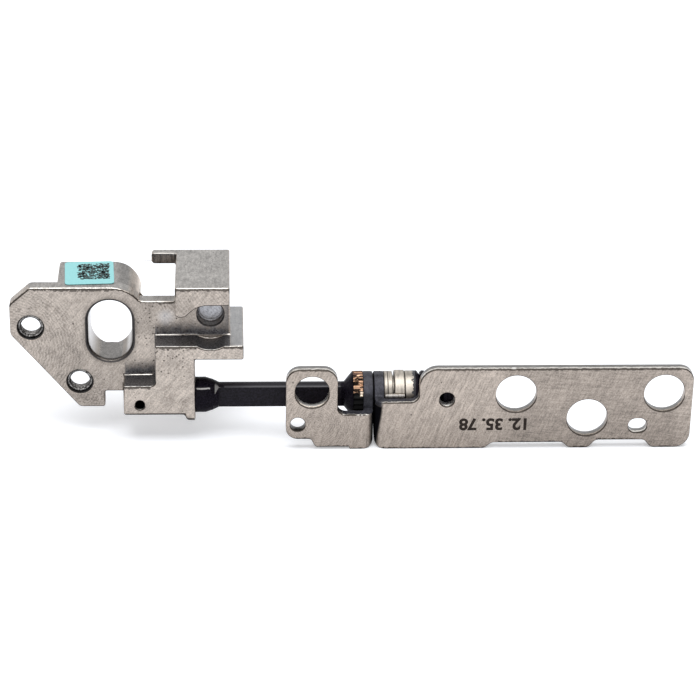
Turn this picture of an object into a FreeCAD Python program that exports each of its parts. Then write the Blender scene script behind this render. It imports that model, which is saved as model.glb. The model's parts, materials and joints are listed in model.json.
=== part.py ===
import FreeCAD, Part
import math
import os
from FreeCAD import Vector

# A friction hinge for a portable computer, in millimetres.
# The origin is midway between the two screw holes, on the front face of the base plate.
# X runs along the hinge axis towards the lid brackets, Y points away from the viewer, Z is up.

# Base screw holes
SCREW_SPACING_X = 6.0
SCREW_SPACING_Z = 7.65
SCREW_HOLE_D = 3.3

# Hinge axis, from the origin
AXIS_AHEAD = 0.9
AXIS_BELOW = 5.27
AXIS_Y = -AXIS_AHEAD
AXIS_Z = -AXIS_BELOW

# Base plate, heights measured from the hinge axis
PLATE_T = 2.0
PLATE_LEFT = 5.6
PLATE_CHAMFER_X = 2.6
PLATE_CHAMFER_Z = 2.3
PLATE_LEFT_FOOT = 8.1
PLATE_FOOT_LEFT_X = 2.9
PLATE_FOOT_RIGHT_X = 6.15
PLATE_FOOT = -2.2
PLATE_RELIEF = 0.05
PLATE_CORNER_R = 0.9
PLATE_FOOT_R = 0.3

# Cable passage and its tube
PASSAGE_X = 7.0
PASSAGE_W = 5.5
PASSAGE_H = 8.2
PASSAGE_MID = 8.6
PASSAGE_WALL = 1.92
PASSAGE_BEVEL = 0.35
TUBE_DEPTH = 5.2
TUBE_SIDE_WALL = 1.12
PLATE_TOP = PASSAGE_MID + PASSAGE_H / 2 + PASSAGE_WALL

# Label ledge on the tube
LEDGE_DEPTH = 8.2
LEDGE_LEFT = 0.4
LEDGE_CORNER_R = 2.5
LEDGE_LEFT_CORNER_R = 0.5
LABEL_W = 6.2
LABEL_L = 6.8
LABEL_T = 0.08
LABEL_CORNER_R = 0.5
LABEL_FROM_LEFT = 0.85
LABEL_FROM_FRONT = 1.05
LABEL_TURN = 3.2

# Web between the blocks
WEB_TOP = 12.7
WEB_FILLET_R = 1.2
BLOCK_PROUD = 3.3

# Upper block with its flap and hook
UPPER_LEFT = 15.3
UPPER_RIGHT = 22.15
UPPER_TOP = 16.05
UPPER_BACK = 8.7
SHELF_CORNER_R = 0.25
FLAP_EDGE = 13.57
LOBE_EDGE = 11.96
LOBE_W = 1.17
FLAP_SLOPE_W = 1.75
FLAP_CONCAVE_R = 3.0
LOBE_R = 0.7
HOOK_REACH = 3.15
HOOK_H = 1.5
HOOK_T = 1.35
HOOK_R = 0.45

# Lower block with its arm and barrel
LOWER_LEFT = 8.63
LOWER_STEP = 12.7
LOWER_STEP_H = 2.42
LOWER_STEP_R = 0.7
LOWER_RIGHT = 17.7
LOWER_TOP = 8.05
ARM_RIGHT = 23.88
ARM_UNDER = 6.05
ARM_BACK = 8.5
FRONT_LIP = 1.6
BACK_LIP = 0.35
BARREL_R = 2.6
BARREL_FACET_ANGLE = 240
NUB_R = 3.3
NUB_T = 1.4
NUB_SLOPE = 0.4

# Round pocket in the web and the relief turned round it
POCKET_X = 19.7
POCKET_H = 10.95
POCKET_D = 3.3
POCKET_DEPTH = 1.5
RELIEF_R = 3.4

# Shaft
SHAFT_D = 3.2
SHAFT_FLATS = 1.7
SHAFT_INSET = 0.3
COLLAR_D = 4.55
COLLAR_L = 1.3
COLLAR_TAPER = 1.7
COLLAR_SHOULDER = 1.05
COLLAR_SHOULDER_D = 3.9
COLLAR_FACETS = 3.5
BAR_L = 16.0
CONE_L = 1.1
THREAD_D = 3.0
TAIL_L = 0.7
PIN_X = 10.7
PIN_H = -0.3
PIN_D = 1.1
PIN_HOLE_D = 1.15
PIN_SUNK = 0.7

# Fits
SEAT_CLEARANCE = 0.02
RUNNING_CLEARANCE = 0.05
OVERCUT = 1.0

# The share of an edge that a rounded corner may take, beside a plain corner and a rounded one
BESIDE_PLAIN = 0.98
BESIDE_ROUND = 0.49

# Friction pack, in the order in which it is threaded on the shaft
PACK_R = 2.95
RING_T = 1.3
RING_TEETH = 24
RING_TOOTH_H = 0.3
EAR_T = 1.25
EAR_R = 2.9
LINER_T = 0.15
LINER_R = 2.6
WASHER_R = 2.9
WASHER_A_T = 0.5
WASHER_B_T = 0.6
SPACER_R = 2.3
SPACER_T = 0.25
TAB_WASHER_R = 3.05
TAB_WASHER_T = 1.3
TAB_WASHER_EDGE = 0.08
TAB_H = 0.4
TAB_ABOVE_NOTCH = 0.08
TAB_GAP = 0.1
CAM_T = 1.4
CAM_EDGE = 0.12
FOLLOWER_T = 0.62
FOLLOWER_CHAMFER_L = 0.4
FOLLOWER_CHAMFER_R = 0.56
THRUST_T = 0.75
THRUST_EDGE = 0.2
SPRING_COUNT = 4
SPRING_T = 0.45
SPRING_DISH = 0.21
END_WASHER_T = 0.5
NUT_AF = 5.0
NUT_T = 1.9
NUT_CHAMFER = 0.25

# Lid brackets, heights measured from the hinge axis
SHEET_T = 1.35
SHEET_FRONT = 4.6
BEND_OUTER_R = 1.5
BEND_INNER_R = 0.3
EAR_CORNER_R = 0.9
LID_TOP = 5.7
LID_BOTTOM = -5.6

# Short bracket
SHORT_LEFT = 29.2
SHORT_TOP_R = 1.8
SHORT_NOTCH_LEFT = 35.73
SHORT_NOTCH = -0.7
SHORT_NOTCH_R = 1.1
SHORT_STEP_X = 32.4
SHORT_STEP = -4.15
SHORT_STEP_R = 0.55
SHORT_MID_BOTTOM = -5.3
SHORT_BUMP_X = 37.3
SHORT_BUMP_R = 0.14
SHORT_CORNER_R = 1.5
SHORT_HOLE_X = 32.5
SHORT_HOLE_H = 2.5
SHORT_HOLE_D = 4.4
SHORT_PILOT_X = 30.7
SHORT_PILOT_H = -2.05
SHORT_PILOT_D = 1.9

# Long bracket, with the holes in order from its notch to its end
LONG_NOTCH = 1.0
LONG_NOTCH_RIGHT = 46.1
LONG_NOTCH_R = 1.2
LONG_SHOULDER_R = 2.6
LONG_TOP_R = 1.8
PILOT_X = LONG_NOTCH_RIGHT + 3.5
PILOT_H = 1.4
PILOT_D = 1.95
LID_HOLE_D = 5.2
LID_HOLE_ONE_X = LONG_NOTCH_RIGHT + 12.3
LID_HOLE_PITCH = 18.9
LID_HOLE_H = 2.15
LID_HOLE_TWO_X = LID_HOLE_ONE_X + 9.2
LID_HOLE_TWO_H = -1.28
LID_HOLE_THREE_X = LID_HOLE_ONE_X + LID_HOLE_PITCH
SLOT_X = LID_HOLE_TWO_X + 6.55
SLOT_H = -2.45
SLOT_W = 2.4
SLOT_D = 2.0
LONG_END_MARGIN = 3.65
LONG_RIGHT = LID_HOLE_THREE_X + LONG_END_MARGIN
LONG_FIRST_RELIEF_X = LONG_NOTCH_RIGHT + 9.4
LONG_FIRST_RELIEF = 0.8
LONG_TAB_ONE_X = LID_HOLE_TWO_X - 2.15
LONG_TAB_ONE_W = 2.5
LONG_SECOND_RELIEF = 1.1
LONG_TAB_TWO_X = LID_HOLE_THREE_X - 2.2
LONG_RELIEF_RUN = 0.9
LONG_LOW_CORNER_R = 2.0


# Views that turn flat points into points in space
def front_point(y):
    """Points of a front view, with heights from the hinge axis, at depth y."""
    return lambda a, b: Vector(a, y, AXIS_Z + b)


def side_point(x):
    """Points of a side view, both measured from the hinge axis, at station x."""
    return lambda a, b: Vector(x, AXIS_Y + a, AXIS_Z + b)


def top_point(height):
    """Points of a plan view, at a height above the hinge axis."""
    return lambda a, b: Vector(a, b, AXIS_Z + height)


# Outlines with rounded corners
def rounded_face(corners, place):
    """A flat face through (a, b, radius) corners, with each corner rounded by its radius."""
    count = len(corners)
    starts = []
    middles = []
    ends = []
    for index, (a, b, radius) in enumerate(corners):
        before = corners[index - 1]
        after = corners[(index + 1) % count]
        into = (before[0] - a, before[1] - b)
        out = (after[0] - a, after[1] - b)
        into_length = math.hypot(*into)
        out_length = math.hypot(*out)
        into = (into[0] / into_length, into[1] / into_length)
        out = (out[0] / out_length, out[1] / out_length)
        cosine = max(-1.0, min(1.0, into[0] * out[0] + into[1] * out[1]))
        half = math.acos(cosine) / 2
        setback = radius / math.tan(half)
        into_room = into_length * (BESIDE_ROUND if before[2] else BESIDE_PLAIN)
        out_room = out_length * (BESIDE_ROUND if after[2] else BESIDE_PLAIN)
        setback = min(setback, into_room, out_room)
        radius = setback * math.tan(half)
        starts.append((a + into[0] * setback, b + into[1] * setback))
        ends.append((a + out[0] * setback, b + out[1] * setback))
        if radius > 0:
            mid = (into[0] + out[0], into[1] + out[1])
            mid_length = math.hypot(*mid)
            reach = radius / math.sin(half) - radius
            middles.append((a + mid[0] / mid_length * reach, b + mid[1] / mid_length * reach))
        else:
            middles.append(None)
    edges = []
    for index in range(count):
        if middles[index]:
            arc = Part.Arc(place(*starts[index]), place(*middles[index]), place(*ends[index]))
            edges.append(arc.toShape())
        following = starts[(index + 1) % count]
        edges.append(Part.makeLine(place(*ends[index]), place(*following)))
    return Part.Face(Part.Wire(edges))


def front_prism(corners, y_from, y_to):
    return rounded_face(corners, front_point(y_from)).extrude(Vector(0, y_to - y_from, 0))


def side_prism(corners, x_from, x_to):
    return rounded_face(corners, side_point(x_from)).extrude(Vector(x_to - x_from, 0, 0))


def top_prism(corners, low, high):
    return rounded_face(corners, top_point(low)).extrude(Vector(0, 0, high - low))


def rectangle(a_from, a_to, b_from, b_to, radius=0.0):
    return [
        (a_from, b_from, radius),
        (a_to, b_from, radius),
        (a_to, b_to, radius),
        (a_from, b_to, radius),
    ]


def obround(centre_a, centre_b, width, height):
    """Corners of a slot with round ends, upright or lying."""
    left = centre_a - width / 2
    low = centre_b - height / 2
    return rectangle(left, left + width, low, low + height, min(width, height) / 2)


def drilled(diameter, x, height, y_from, y_to):
    """A round cutter along Y at (x, height above the hinge axis)."""
    return Part.makeCylinder(
        diameter / 2, y_to - y_from, Vector(x, y_from, AXIS_Z + height), Vector(0, 1, 0)
    )


# Round parts on the hinge axis
def disc(radius, x_from, x_to):
    return Part.makeCylinder(radius, x_to - x_from, Vector(x_from, AXIS_Y, AXIS_Z), Vector(1, 0, 0))


def turned(profile):
    """A solid turned about the hinge axis from (x, radius) points."""
    points = [Vector(x, AXIS_Y, AXIS_Z + radius) for x, radius in profile]
    points.append(points[0])
    face = Part.Face(Part.makePolygon(points))
    return face.revolve(Vector(0, AXIS_Y, AXIS_Z), Vector(1, 0, 0), 360)


def double_d(diameter, flats, x_from, x_to):
    """A round bar with two flats that face the front and the back."""
    slab = side_prism(rectangle(-flats / 2, flats / 2, -diameter, diameter), x_from, x_to)
    return disc(diameter / 2, x_from, x_to).common(slab)


def keyed_hole(x_from, x_to):
    """The double-D hole that locks a piece to the shaft."""
    wide = SHAFT_D + 2 * SEAT_CLEARANCE
    narrow = SHAFT_FLATS + 2 * SEAT_CLEARANCE
    return double_d(wide, narrow, x_from - OVERCUT, x_to + OVERCUT)


def round_hole(x_from, x_to):
    """The round hole that lets a piece turn on the shaft."""
    return disc(SHAFT_D / 2 + RUNNING_CLEARANCE, x_from - OVERCUT, x_to + OVERCUT)


def edged_disc(radius, x_from, x_to, edge):
    """A disc with both rims chamfered."""
    return turned(
        [
            (x_from, 0),
            (x_from, radius - edge),
            (x_from + edge, radius),
            (x_to - edge, radius),
            (x_to, radius - edge),
            (x_to, 0),
        ]
    )


# Stations of the shaft and of the friction pack along X
BLOCK_FRONT = -BLOCK_PROUD
COLLAR_X = LOWER_RIGHT
TAPER_X = COLLAR_X + COLLAR_L
BAR_X = TAPER_X + COLLAR_TAPER
CONE_X = BAR_X + BAR_L
RING_X = CONE_X + CONE_L
SHORT_EAR_X = RING_X + RING_T
LINER_X = SHORT_EAR_X + EAR_T
LONG_EAR_X = LINER_X + LINER_T
WASHER_A_X = LONG_EAR_X + EAR_T
WASHER_B_X = WASHER_A_X + WASHER_A_T
SPACER_X = WASHER_B_X + WASHER_B_T
TAB_WASHER_X = SPACER_X + SPACER_T
CAM_X = TAB_WASHER_X + TAB_WASHER_T
FOLLOWER_X = CAM_X + CAM_T
THRUST_X = FOLLOWER_X + FOLLOWER_T
SPRING_X = THRUST_X + THRUST_T
SPRING_PITCH = SPRING_T + SPRING_DISH
END_WASHER_X = SPRING_X + SPRING_COUNT * SPRING_PITCH
NUT_X = END_WASHER_X + END_WASHER_T
TAIL_X = NUT_X + NUT_T + TAIL_L


# Base bracket
def base_plate():
    corners = [
        (-PLATE_LEFT, PLATE_LEFT_FOOT, PLATE_CORNER_R),
        (-PLATE_LEFT, PLATE_TOP - PLATE_CHAMFER_Z, PLATE_CORNER_R),
        (-PLATE_LEFT + PLATE_CHAMFER_X, PLATE_TOP, PLATE_CORNER_R),
        (PASSAGE_X, PLATE_TOP, 0.0),
        (PASSAGE_X, WEB_TOP, 0.0),
        (UPPER_RIGHT, WEB_TOP, 0.0),
        (UPPER_RIGHT, LOWER_TOP - PLATE_T, 0.0),
        (LOWER_RIGHT, LOWER_TOP - PLATE_T, 0.0),
        (LOWER_RIGHT, PLATE_RELIEF, 0.0),
        (PLATE_FOOT_RIGHT_X, PLATE_RELIEF, PLATE_FOOT_R),
        (PLATE_FOOT_RIGHT_X, PLATE_FOOT, PLATE_FOOT_R),
        (PLATE_FOOT_LEFT_X, PLATE_FOOT, PLATE_CORNER_R),
    ]
    return front_prism(corners, 0, PLATE_T)


def passage_outline(grow):
    """The cable passage, or its tube when grown by a wall."""
    return obround(PASSAGE_X, PASSAGE_MID, PASSAGE_W + 2 * grow, PASSAGE_H + 2 * grow)


def passage_tube():
    """The tube round the passage, thinner at its right, with the deeper ledge that carries the label."""
    rim = front_prism(passage_outline(PASSAGE_WALL), 0, PLATE_T)
    tube = front_prism(passage_outline(PASSAGE_WALL), 0, TUBE_DEPTH)
    tube_low = PASSAGE_MID - PASSAGE_H / 2 - PASSAGE_WALL
    tube_right = PASSAGE_X + PASSAGE_W / 2 + TUBE_SIDE_WALL
    upper_centre = PASSAGE_MID + PASSAGE_H / 2 - PASSAGE_W / 2
    ledge = front_prism(passage_outline(PASSAGE_WALL), 0, LEDGE_DEPTH)
    shoulder = front_prism(rectangle(LEDGE_LEFT, PASSAGE_X, upper_centre, PLATE_TOP), 0, LEDGE_DEPTH)
    plan = [
        (LEDGE_LEFT, -OVERCUT, 0.0),
        (tube_right, -OVERCUT, 0.0),
        (tube_right, LEDGE_DEPTH, LEDGE_CORNER_R),
        (LEDGE_LEFT, LEDGE_DEPTH, LEDGE_LEFT_CORNER_R),
    ]
    plan_limit = top_prism(plan, tube_low, PLATE_TOP + OVERCUT)
    slope = [
        (AXIS_AHEAD - OVERCUT, upper_centre - PASSAGE_H, 0.0),
        (AXIS_AHEAD + TUBE_DEPTH, upper_centre - PASSAGE_H, 0.0),
        (AXIS_AHEAD + TUBE_DEPTH, PASSAGE_MID - PASSAGE_H / 2, 0.0),
        (AXIS_AHEAD + LEDGE_DEPTH, upper_centre, 0.0),
        (AXIS_AHEAD + LEDGE_DEPTH, PLATE_TOP + OVERCUT, 0.0),
        (AXIS_AHEAD - OVERCUT, PLATE_TOP + OVERCUT, 0.0),
    ]
    slope_limit = side_prism(slope, LEDGE_LEFT - OVERCUT, tube_right + OVERCUT)
    ledge = ledge.fuse(shoulder).common(slope_limit)
    return rim.fuse(tube.fuse(ledge).common(plan_limit))


def passage_cut():
    hole = front_prism(passage_outline(0), -OVERCUT, LEDGE_DEPTH + OVERCUT)
    wide = rounded_face(passage_outline(PASSAGE_BEVEL), front_point(0)).OuterWire
    narrow = rounded_face(passage_outline(0), front_point(PASSAGE_BEVEL)).OuterWire
    return hole.fuse(Part.makeLoft([wide, narrow], True))


def shelf(left, right, back, low, high):
    """A level shelf from the blocks' front to its rounded back corners."""
    plan = [
        (left, BLOCK_FRONT, 0.0),
        (right, BLOCK_FRONT, 0.0),
        (right, back, SHELF_CORNER_R),
        (left, back, SHELF_CORNER_R),
    ]
    return top_prism(plan, low, high)


def web_fillet():
    """The concave sweep from the round top of the passage tube to the top of the web."""
    tube_r = PASSAGE_W / 2 + PASSAGE_WALL
    upper_centre = PASSAGE_MID + PASSAGE_H / 2 - PASSAGE_W / 2
    rise = WEB_TOP + WEB_FILLET_R - upper_centre
    reach = tube_r + WEB_FILLET_R
    centre_x = PASSAGE_X + math.sqrt(reach**2 - rise**2)
    touch = upper_centre + rise * tube_r / reach
    corner = front_prism(rectangle(PASSAGE_X, centre_x, upper_centre, touch), 0, PLATE_T)
    sweep = drilled(2 * WEB_FILLET_R, centre_x, WEB_TOP + WEB_FILLET_R, -OVERCUT, PLATE_T + OVERCUT)
    return corner.cut(sweep)


def upper_block():
    """The shelf at the top, the flap that hangs from its front and the hook at its back."""
    top = shelf(UPPER_LEFT, UPPER_RIGHT, UPPER_BACK, FLAP_EDGE, UPPER_TOP)
    flap = front_prism(
        [
            (UPPER_LEFT, UPPER_TOP, 0.0),
            (UPPER_RIGHT, UPPER_TOP, 0.0),
            (UPPER_RIGHT, FLAP_EDGE, 0.0),
            (UPPER_LEFT + LOBE_W + FLAP_SLOPE_W, FLAP_EDGE, FLAP_CONCAVE_R),
            (UPPER_LEFT + LOBE_W, LOBE_EDGE, LOBE_R),
            (UPPER_LEFT, LOBE_EDGE, LOBE_R),
        ],
        BLOCK_FRONT,
        PLATE_T,
    )
    hook = front_prism(
        [
            (UPPER_LEFT - HOOK_REACH, UPPER_TOP - HOOK_H, HOOK_R),
            (UPPER_LEFT + HOOK_R, UPPER_TOP - HOOK_H, 0.0),
            (UPPER_LEFT + HOOK_R, UPPER_TOP, 0.0),
            (UPPER_LEFT - HOOK_REACH, UPPER_TOP, HOOK_R),
        ],
        UPPER_BACK - HOOK_T,
        UPPER_BACK,
    )
    web = front_prism(rectangle(UPPER_LEFT, UPPER_RIGHT, LOWER_TOP, FLAP_EDGE), 0, PLATE_T)
    return top.fuse([flap, hook, web])


def lower_block():
    """The block with the shaft barrel, its step to the plate and the arm at its right."""
    front = BLOCK_FRONT - AXIS_Y
    back = PLATE_T - AXIS_Y
    facet = math.radians(BARREL_FACET_ANGLE)
    foot = side_prism(
        [
            (front, BACK_LIP, 0.0),
            (front, -FRONT_LIP, 0.0),
            (BARREL_R * math.cos(facet), BARREL_R * math.sin(facet), 0.0),
            (0.0, 0.0, 0.0),
            (BARREL_R, 0.0, 0.0),
            (back, BACK_LIP, 0.0),
        ],
        LOWER_LEFT,
        LOWER_RIGHT,
    )
    between_faces = side_prism(rectangle(front, back, -NUB_R, LOWER_STEP_H), LOWER_LEFT, LOWER_RIGHT)
    nub = turned(
        [
            (LOWER_RIGHT - NUB_T, 0),
            (LOWER_RIGHT - NUB_T, BARREL_R),
            (LOWER_RIGHT - NUB_T + NUB_SLOPE, NUB_R),
            (LOWER_RIGHT, NUB_R),
            (LOWER_RIGHT, 0),
        ]
    )
    barrel = disc(BARREL_R, LOWER_LEFT, LOWER_RIGHT).fuse(nub)
    step = front_prism(
        [
            (LOWER_LEFT, BACK_LIP, 0.0),
            (LOWER_RIGHT, BACK_LIP, 0.0),
            (LOWER_RIGHT, LOWER_TOP, 0.0),
            (LOWER_STEP, LOWER_TOP, 0.0),
            (LOWER_STEP, LOWER_STEP_H, LOWER_STEP_R),
            (LOWER_LEFT, LOWER_STEP_H, 0.0),
        ],
        BLOCK_FRONT,
        PLATE_T,
    )
    arm = shelf(LOWER_STEP, ARM_RIGHT, ARM_BACK, ARM_UNDER, LOWER_TOP)
    return foot.fuse([barrel.common(between_faces), step, arm])


def pocket_cut():
    """The blind pocket in the web, and the round relief below it that clears its tool."""
    relief = drilled(2 * RELIEF_R, POCKET_X, POCKET_H, BLOCK_FRONT, 0)
    above = rectangle(UPPER_LEFT, UPPER_RIGHT, POCKET_H, UPPER_TOP)
    relief = relief.cut(front_prism(above, BLOCK_FRONT - OVERCUT, OVERCUT))
    pocket = drilled(POCKET_D, POCKET_X, POCKET_H, -OVERCUT, POCKET_DEPTH)
    flap_room = rectangle(UPPER_LEFT, UPPER_RIGHT, FLAP_EDGE, UPPER_TOP)
    return relief.fuse(pocket.cut(front_prism(flap_room, -2 * OVERCUT, PLATE_T)))


def cast_base_bracket():
    body = base_plate().fuse([passage_tube(), web_fillet(), upper_block(), lower_block()])
    bore = disc(SHAFT_D / 2 + SEAT_CLEARANCE, LOWER_LEFT, LOWER_RIGHT + OVERCUT)
    pin_hole = drilled(PIN_HOLE_D, PIN_X, PIN_H, BLOCK_FRONT - OVERCUT, PLATE_T + OVERCUT)
    cutters = [pocket_cut(), bore, pin_hole, passage_cut()]
    for side in (-1, 1):
        height = AXIS_BELOW - side * SCREW_SPACING_Z / 2
        cutters.append(drilled(SCREW_HOLE_D, side * SCREW_SPACING_X / 2, height, -OVERCUT, PLATE_T + OVERCUT))
    return body.cut(cutters).removeSplitter()


def label_sticker():
    left = LEDGE_LEFT + LABEL_FROM_LEFT
    front = LABEL_FROM_FRONT
    corners = rectangle(left, left + LABEL_W, front, front + LABEL_L, LABEL_CORNER_R)
    label = top_prism(corners, PLATE_TOP, PLATE_TOP + LABEL_T)
    label.rotate(Vector(left + LABEL_W / 2, front + LABEL_L / 2, 0), Vector(0, 0, 1), LABEL_TURN)
    return label


# Shaft and its lock pin
def collar():
    """The collar against the barrel. Its taper to the bar has four flats at 45 degrees."""
    shoulder_x = TAPER_X + COLLAR_SHOULDER
    collar_r = COLLAR_D / 2
    shoulder_r = COLLAR_SHOULDER_D / 2
    round_part = turned(
        [(COLLAR_X, 0), (COLLAR_X, collar_r), (TAPER_X, collar_r), (shoulder_x, shoulder_r), (shoulder_x, 0)]
    )
    taper = turned([(shoulder_x, 0), (shoulder_x, shoulder_r), (BAR_X, SHAFT_D / 2), (BAR_X, 0)])
    tip = COLLAR_FACETS / math.sqrt(2)
    diamond = side_prism([(-tip, 0, 0), (0, -tip, 0), (tip, 0, 0), (0, tip, 0)], shoulder_x, BAR_X)
    return round_part.fuse(taper.common(diamond))


def hinge_shaft():
    body = disc(SHAFT_D / 2, LOWER_LEFT + SHAFT_INSET, COLLAR_X)
    bar = double_d(SHAFT_D, SHAFT_FLATS, BAR_X, CONE_X)
    cone = turned([(CONE_X, 0), (CONE_X, SHAFT_D / 2), (RING_X, PACK_R), (RING_X, 0)])
    spindle = double_d(SHAFT_D, SHAFT_FLATS, RING_X, NUT_X)
    thread = disc(THREAD_D / 2, NUT_X, TAIL_X - TAIL_L / 2)
    tip = turned(
        [
            (TAIL_X - TAIL_L / 2, 0),
            (TAIL_X - TAIL_L / 2, THREAD_D / 2),
            (TAIL_X, THREAD_D / 2 - TAIL_L / 2),
            (TAIL_X, 0),
        ]
    )
    pin_hole = drilled(PIN_HOLE_D, PIN_X, PIN_H, AXIS_Y - COLLAR_D, AXIS_Y + COLLAR_D)
    return body.fuse([collar(), bar, cone, spindle, thread, tip]).cut(pin_hole).removeSplitter()


def shaft_lock_pin():
    return drilled(PIN_D, PIN_X, PIN_H, BLOCK_FRONT + PIN_SUNK, AXIS_Y + BARREL_R - PIN_SUNK)


# Friction pack
def serrated_ring():
    """The bronze friction ring, with V-shaped serrations round its rim."""
    step = math.pi / RING_TEETH
    points = []
    for index in range(2 * RING_TEETH):
        radius = PACK_R if index % 2 == 0 else PACK_R - RING_TOOTH_H
        points.append((radius * math.cos(index * step), radius * math.sin(index * step), 0.0))
    ring = side_prism(points, RING_X, SHORT_EAR_X)
    return ring.cut(keyed_hole(RING_X, SHORT_EAR_X))


def friction_liner():
    return disc(LINER_R, LINER_X, LONG_EAR_X).cut(keyed_hole(LINER_X, LONG_EAR_X))


def friction_washer_a():
    return disc(WASHER_R, WASHER_A_X, WASHER_B_X).cut(keyed_hole(WASHER_A_X, WASHER_B_X))


def friction_washer_b():
    return disc(WASHER_R, WASHER_B_X, SPACER_X).cut(keyed_hole(WASHER_B_X, SPACER_X))


def spacer_ring():
    return disc(SPACER_R, SPACER_X, TAB_WASHER_X).cut(keyed_hole(SPACER_X, TAB_WASHER_X))


def tab_washer():
    """The wide washer whose bent tab runs back along the notch and stops it from turning."""
    ring = edged_disc(TAB_WASHER_R, TAB_WASHER_X, CAM_X, TAB_WASHER_EDGE)
    low = LONG_NOTCH + TAB_ABOVE_NOTCH
    outer = SHEET_T - SHEET_FRONT - RUNNING_CLEARANCE
    inner = -math.sqrt((WASHER_R + 2 * RUNNING_CLEARANCE) ** 2 - low**2)
    tab = side_prism(rectangle(outer, inner, low, low + TAB_H), WASHER_A_X + TAB_GAP, TAB_WASHER_X)
    lug = side_prism(rectangle(outer, 0, low, low + TAB_H), TAB_WASHER_X, CAM_X - TAB_WASHER_EDGE)
    return ring.fuse([tab, lug]).cut(round_hole(TAB_WASHER_X, CAM_X)).removeSplitter()


def detent_cam():
    body = turned(
        [
            (CAM_X, 0),
            (CAM_X, PACK_R - CAM_EDGE),
            (CAM_X + CAM_EDGE, PACK_R),
            (FOLLOWER_X, PACK_R),
            (FOLLOWER_X, 0),
        ]
    )
    return body.cut(keyed_hole(CAM_X, FOLLOWER_X))


def cam_follower():
    body = turned(
        [
            (FOLLOWER_X, 0),
            (FOLLOWER_X, PACK_R),
            (THRUST_X - FOLLOWER_CHAMFER_L, PACK_R),
            (THRUST_X, PACK_R - FOLLOWER_CHAMFER_R),
            (THRUST_X, 0),
        ]
    )
    return body.cut(keyed_hole(FOLLOWER_X, THRUST_X))


def thrust_washer():
    return edged_disc(PACK_R, THRUST_X, SPRING_X, THRUST_EDGE).cut(keyed_hole(THRUST_X, SPRING_X))


def spring_washer(index):
    """A dished spring washer; every second one faces the other way."""
    start = SPRING_X + index * SPRING_PITCH
    inner_shift = SPRING_DISH if index % 2 == 0 else 0.0
    outer_shift = SPRING_DISH - inner_shift
    inner = SHAFT_D / 2 + RUNNING_CLEARANCE
    return turned(
        [
            (start + inner_shift, inner),
            (start + outer_shift, WASHER_R),
            (start + outer_shift + SPRING_T, WASHER_R),
            (start + inner_shift + SPRING_T, inner),
        ]
    )


def end_washer():
    return disc(WASHER_R, END_WASHER_X, NUT_X).cut(keyed_hole(END_WASHER_X, NUT_X))


def lock_nut():
    across_corners = NUT_AF / math.cos(math.radians(30))
    corners = []
    for index in range(6):
        angle = math.radians(60 * index)
        corners.append((across_corners / 2 * math.cos(angle), across_corners / 2 * math.sin(angle), 0.0))
    hexagon = side_prism(corners, NUT_X, NUT_X + NUT_T)
    crowned = edged_disc(across_corners / 2, NUT_X, NUT_X + NUT_T, NUT_CHAMFER)
    bore = disc(THREAD_D / 2 + SEAT_CLEARANCE, NUT_X - OVERCUT, NUT_X + NUT_T + OVERCUT)
    return hexagon.common(crowned).cut(bore)


# Lid brackets, each a plate with one end bent back into an ear
def tangent_point(a, b, radius):
    """Where a line from (a, b) touches the underside of a circle about the axis."""
    distance = math.hypot(a, b)
    angle = math.atan2(b, a) + math.acos(radius / distance)
    return radius * math.cos(angle), radius * math.sin(angle)


def ear(x_from, x_to, notch, bottom):
    """The upright ear, from the bend back to its round end about the axis."""
    start = SHEET_T - SHEET_FRONT + BEND_INNER_R
    touch = tangent_point(start, bottom, EAR_R)
    tongue = side_prism(
        [
            (start, notch, 0.0),
            (0.0, notch, 0.0),
            (touch[0], touch[1], 0.0),
            (start, bottom, 0.0),
        ],
        x_from,
        x_to,
    )
    return disc(EAR_R, x_from, x_to).fuse(tongue).cut(round_hole(x_from, x_to))


def bend(bend_x, flat_x, low, high):
    """The quarter bend from the ear's outer face at bend_x to the flat plate at flat_x."""
    front = AXIS_Y - SHEET_FRONT
    back = front + SHEET_T
    way = 1 if flat_x > bend_x else -1
    ear_inside = bend_x + way * EAR_T
    corners = [
        (bend_x, back + BEND_INNER_R, 0.0),
        (bend_x, front, BEND_OUTER_R),
        (flat_x, front, 0.0),
        (flat_x, back, 0.0),
        (ear_inside, back, BEND_INNER_R),
        (ear_inside, back + BEND_INNER_R, 0.0),
    ]
    return top_prism(corners, low, high)


def ear_corner(bend_x, flat_x, low):
    """What is cut from the lower edge of an ear and its bend to round it towards the bend's side."""
    way = 1 if flat_x > bend_x else -1
    centre = bend_x + way * EAR_CORNER_R
    front = AXIS_Y - SHEET_FRONT - OVERCUT
    back = AXIS_Y + EAR_R
    sides = sorted([bend_x, centre])
    square = front_prism(rectangle(sides[0], sides[1], low, low + EAR_CORNER_R), front, back)
    return square.cut(drilled(2 * EAR_CORNER_R, centre, low + EAR_CORNER_R, front, back))


def plate_holes(holes):
    """Cutters through the sheet for (x, height, diameter) holes."""
    front = AXIS_Y - SHEET_FRONT
    back = front + SHEET_T
    return [drilled(diameter, x, height, front - OVERCUT, back + OVERCUT) for x, height, diameter in holes]


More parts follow.
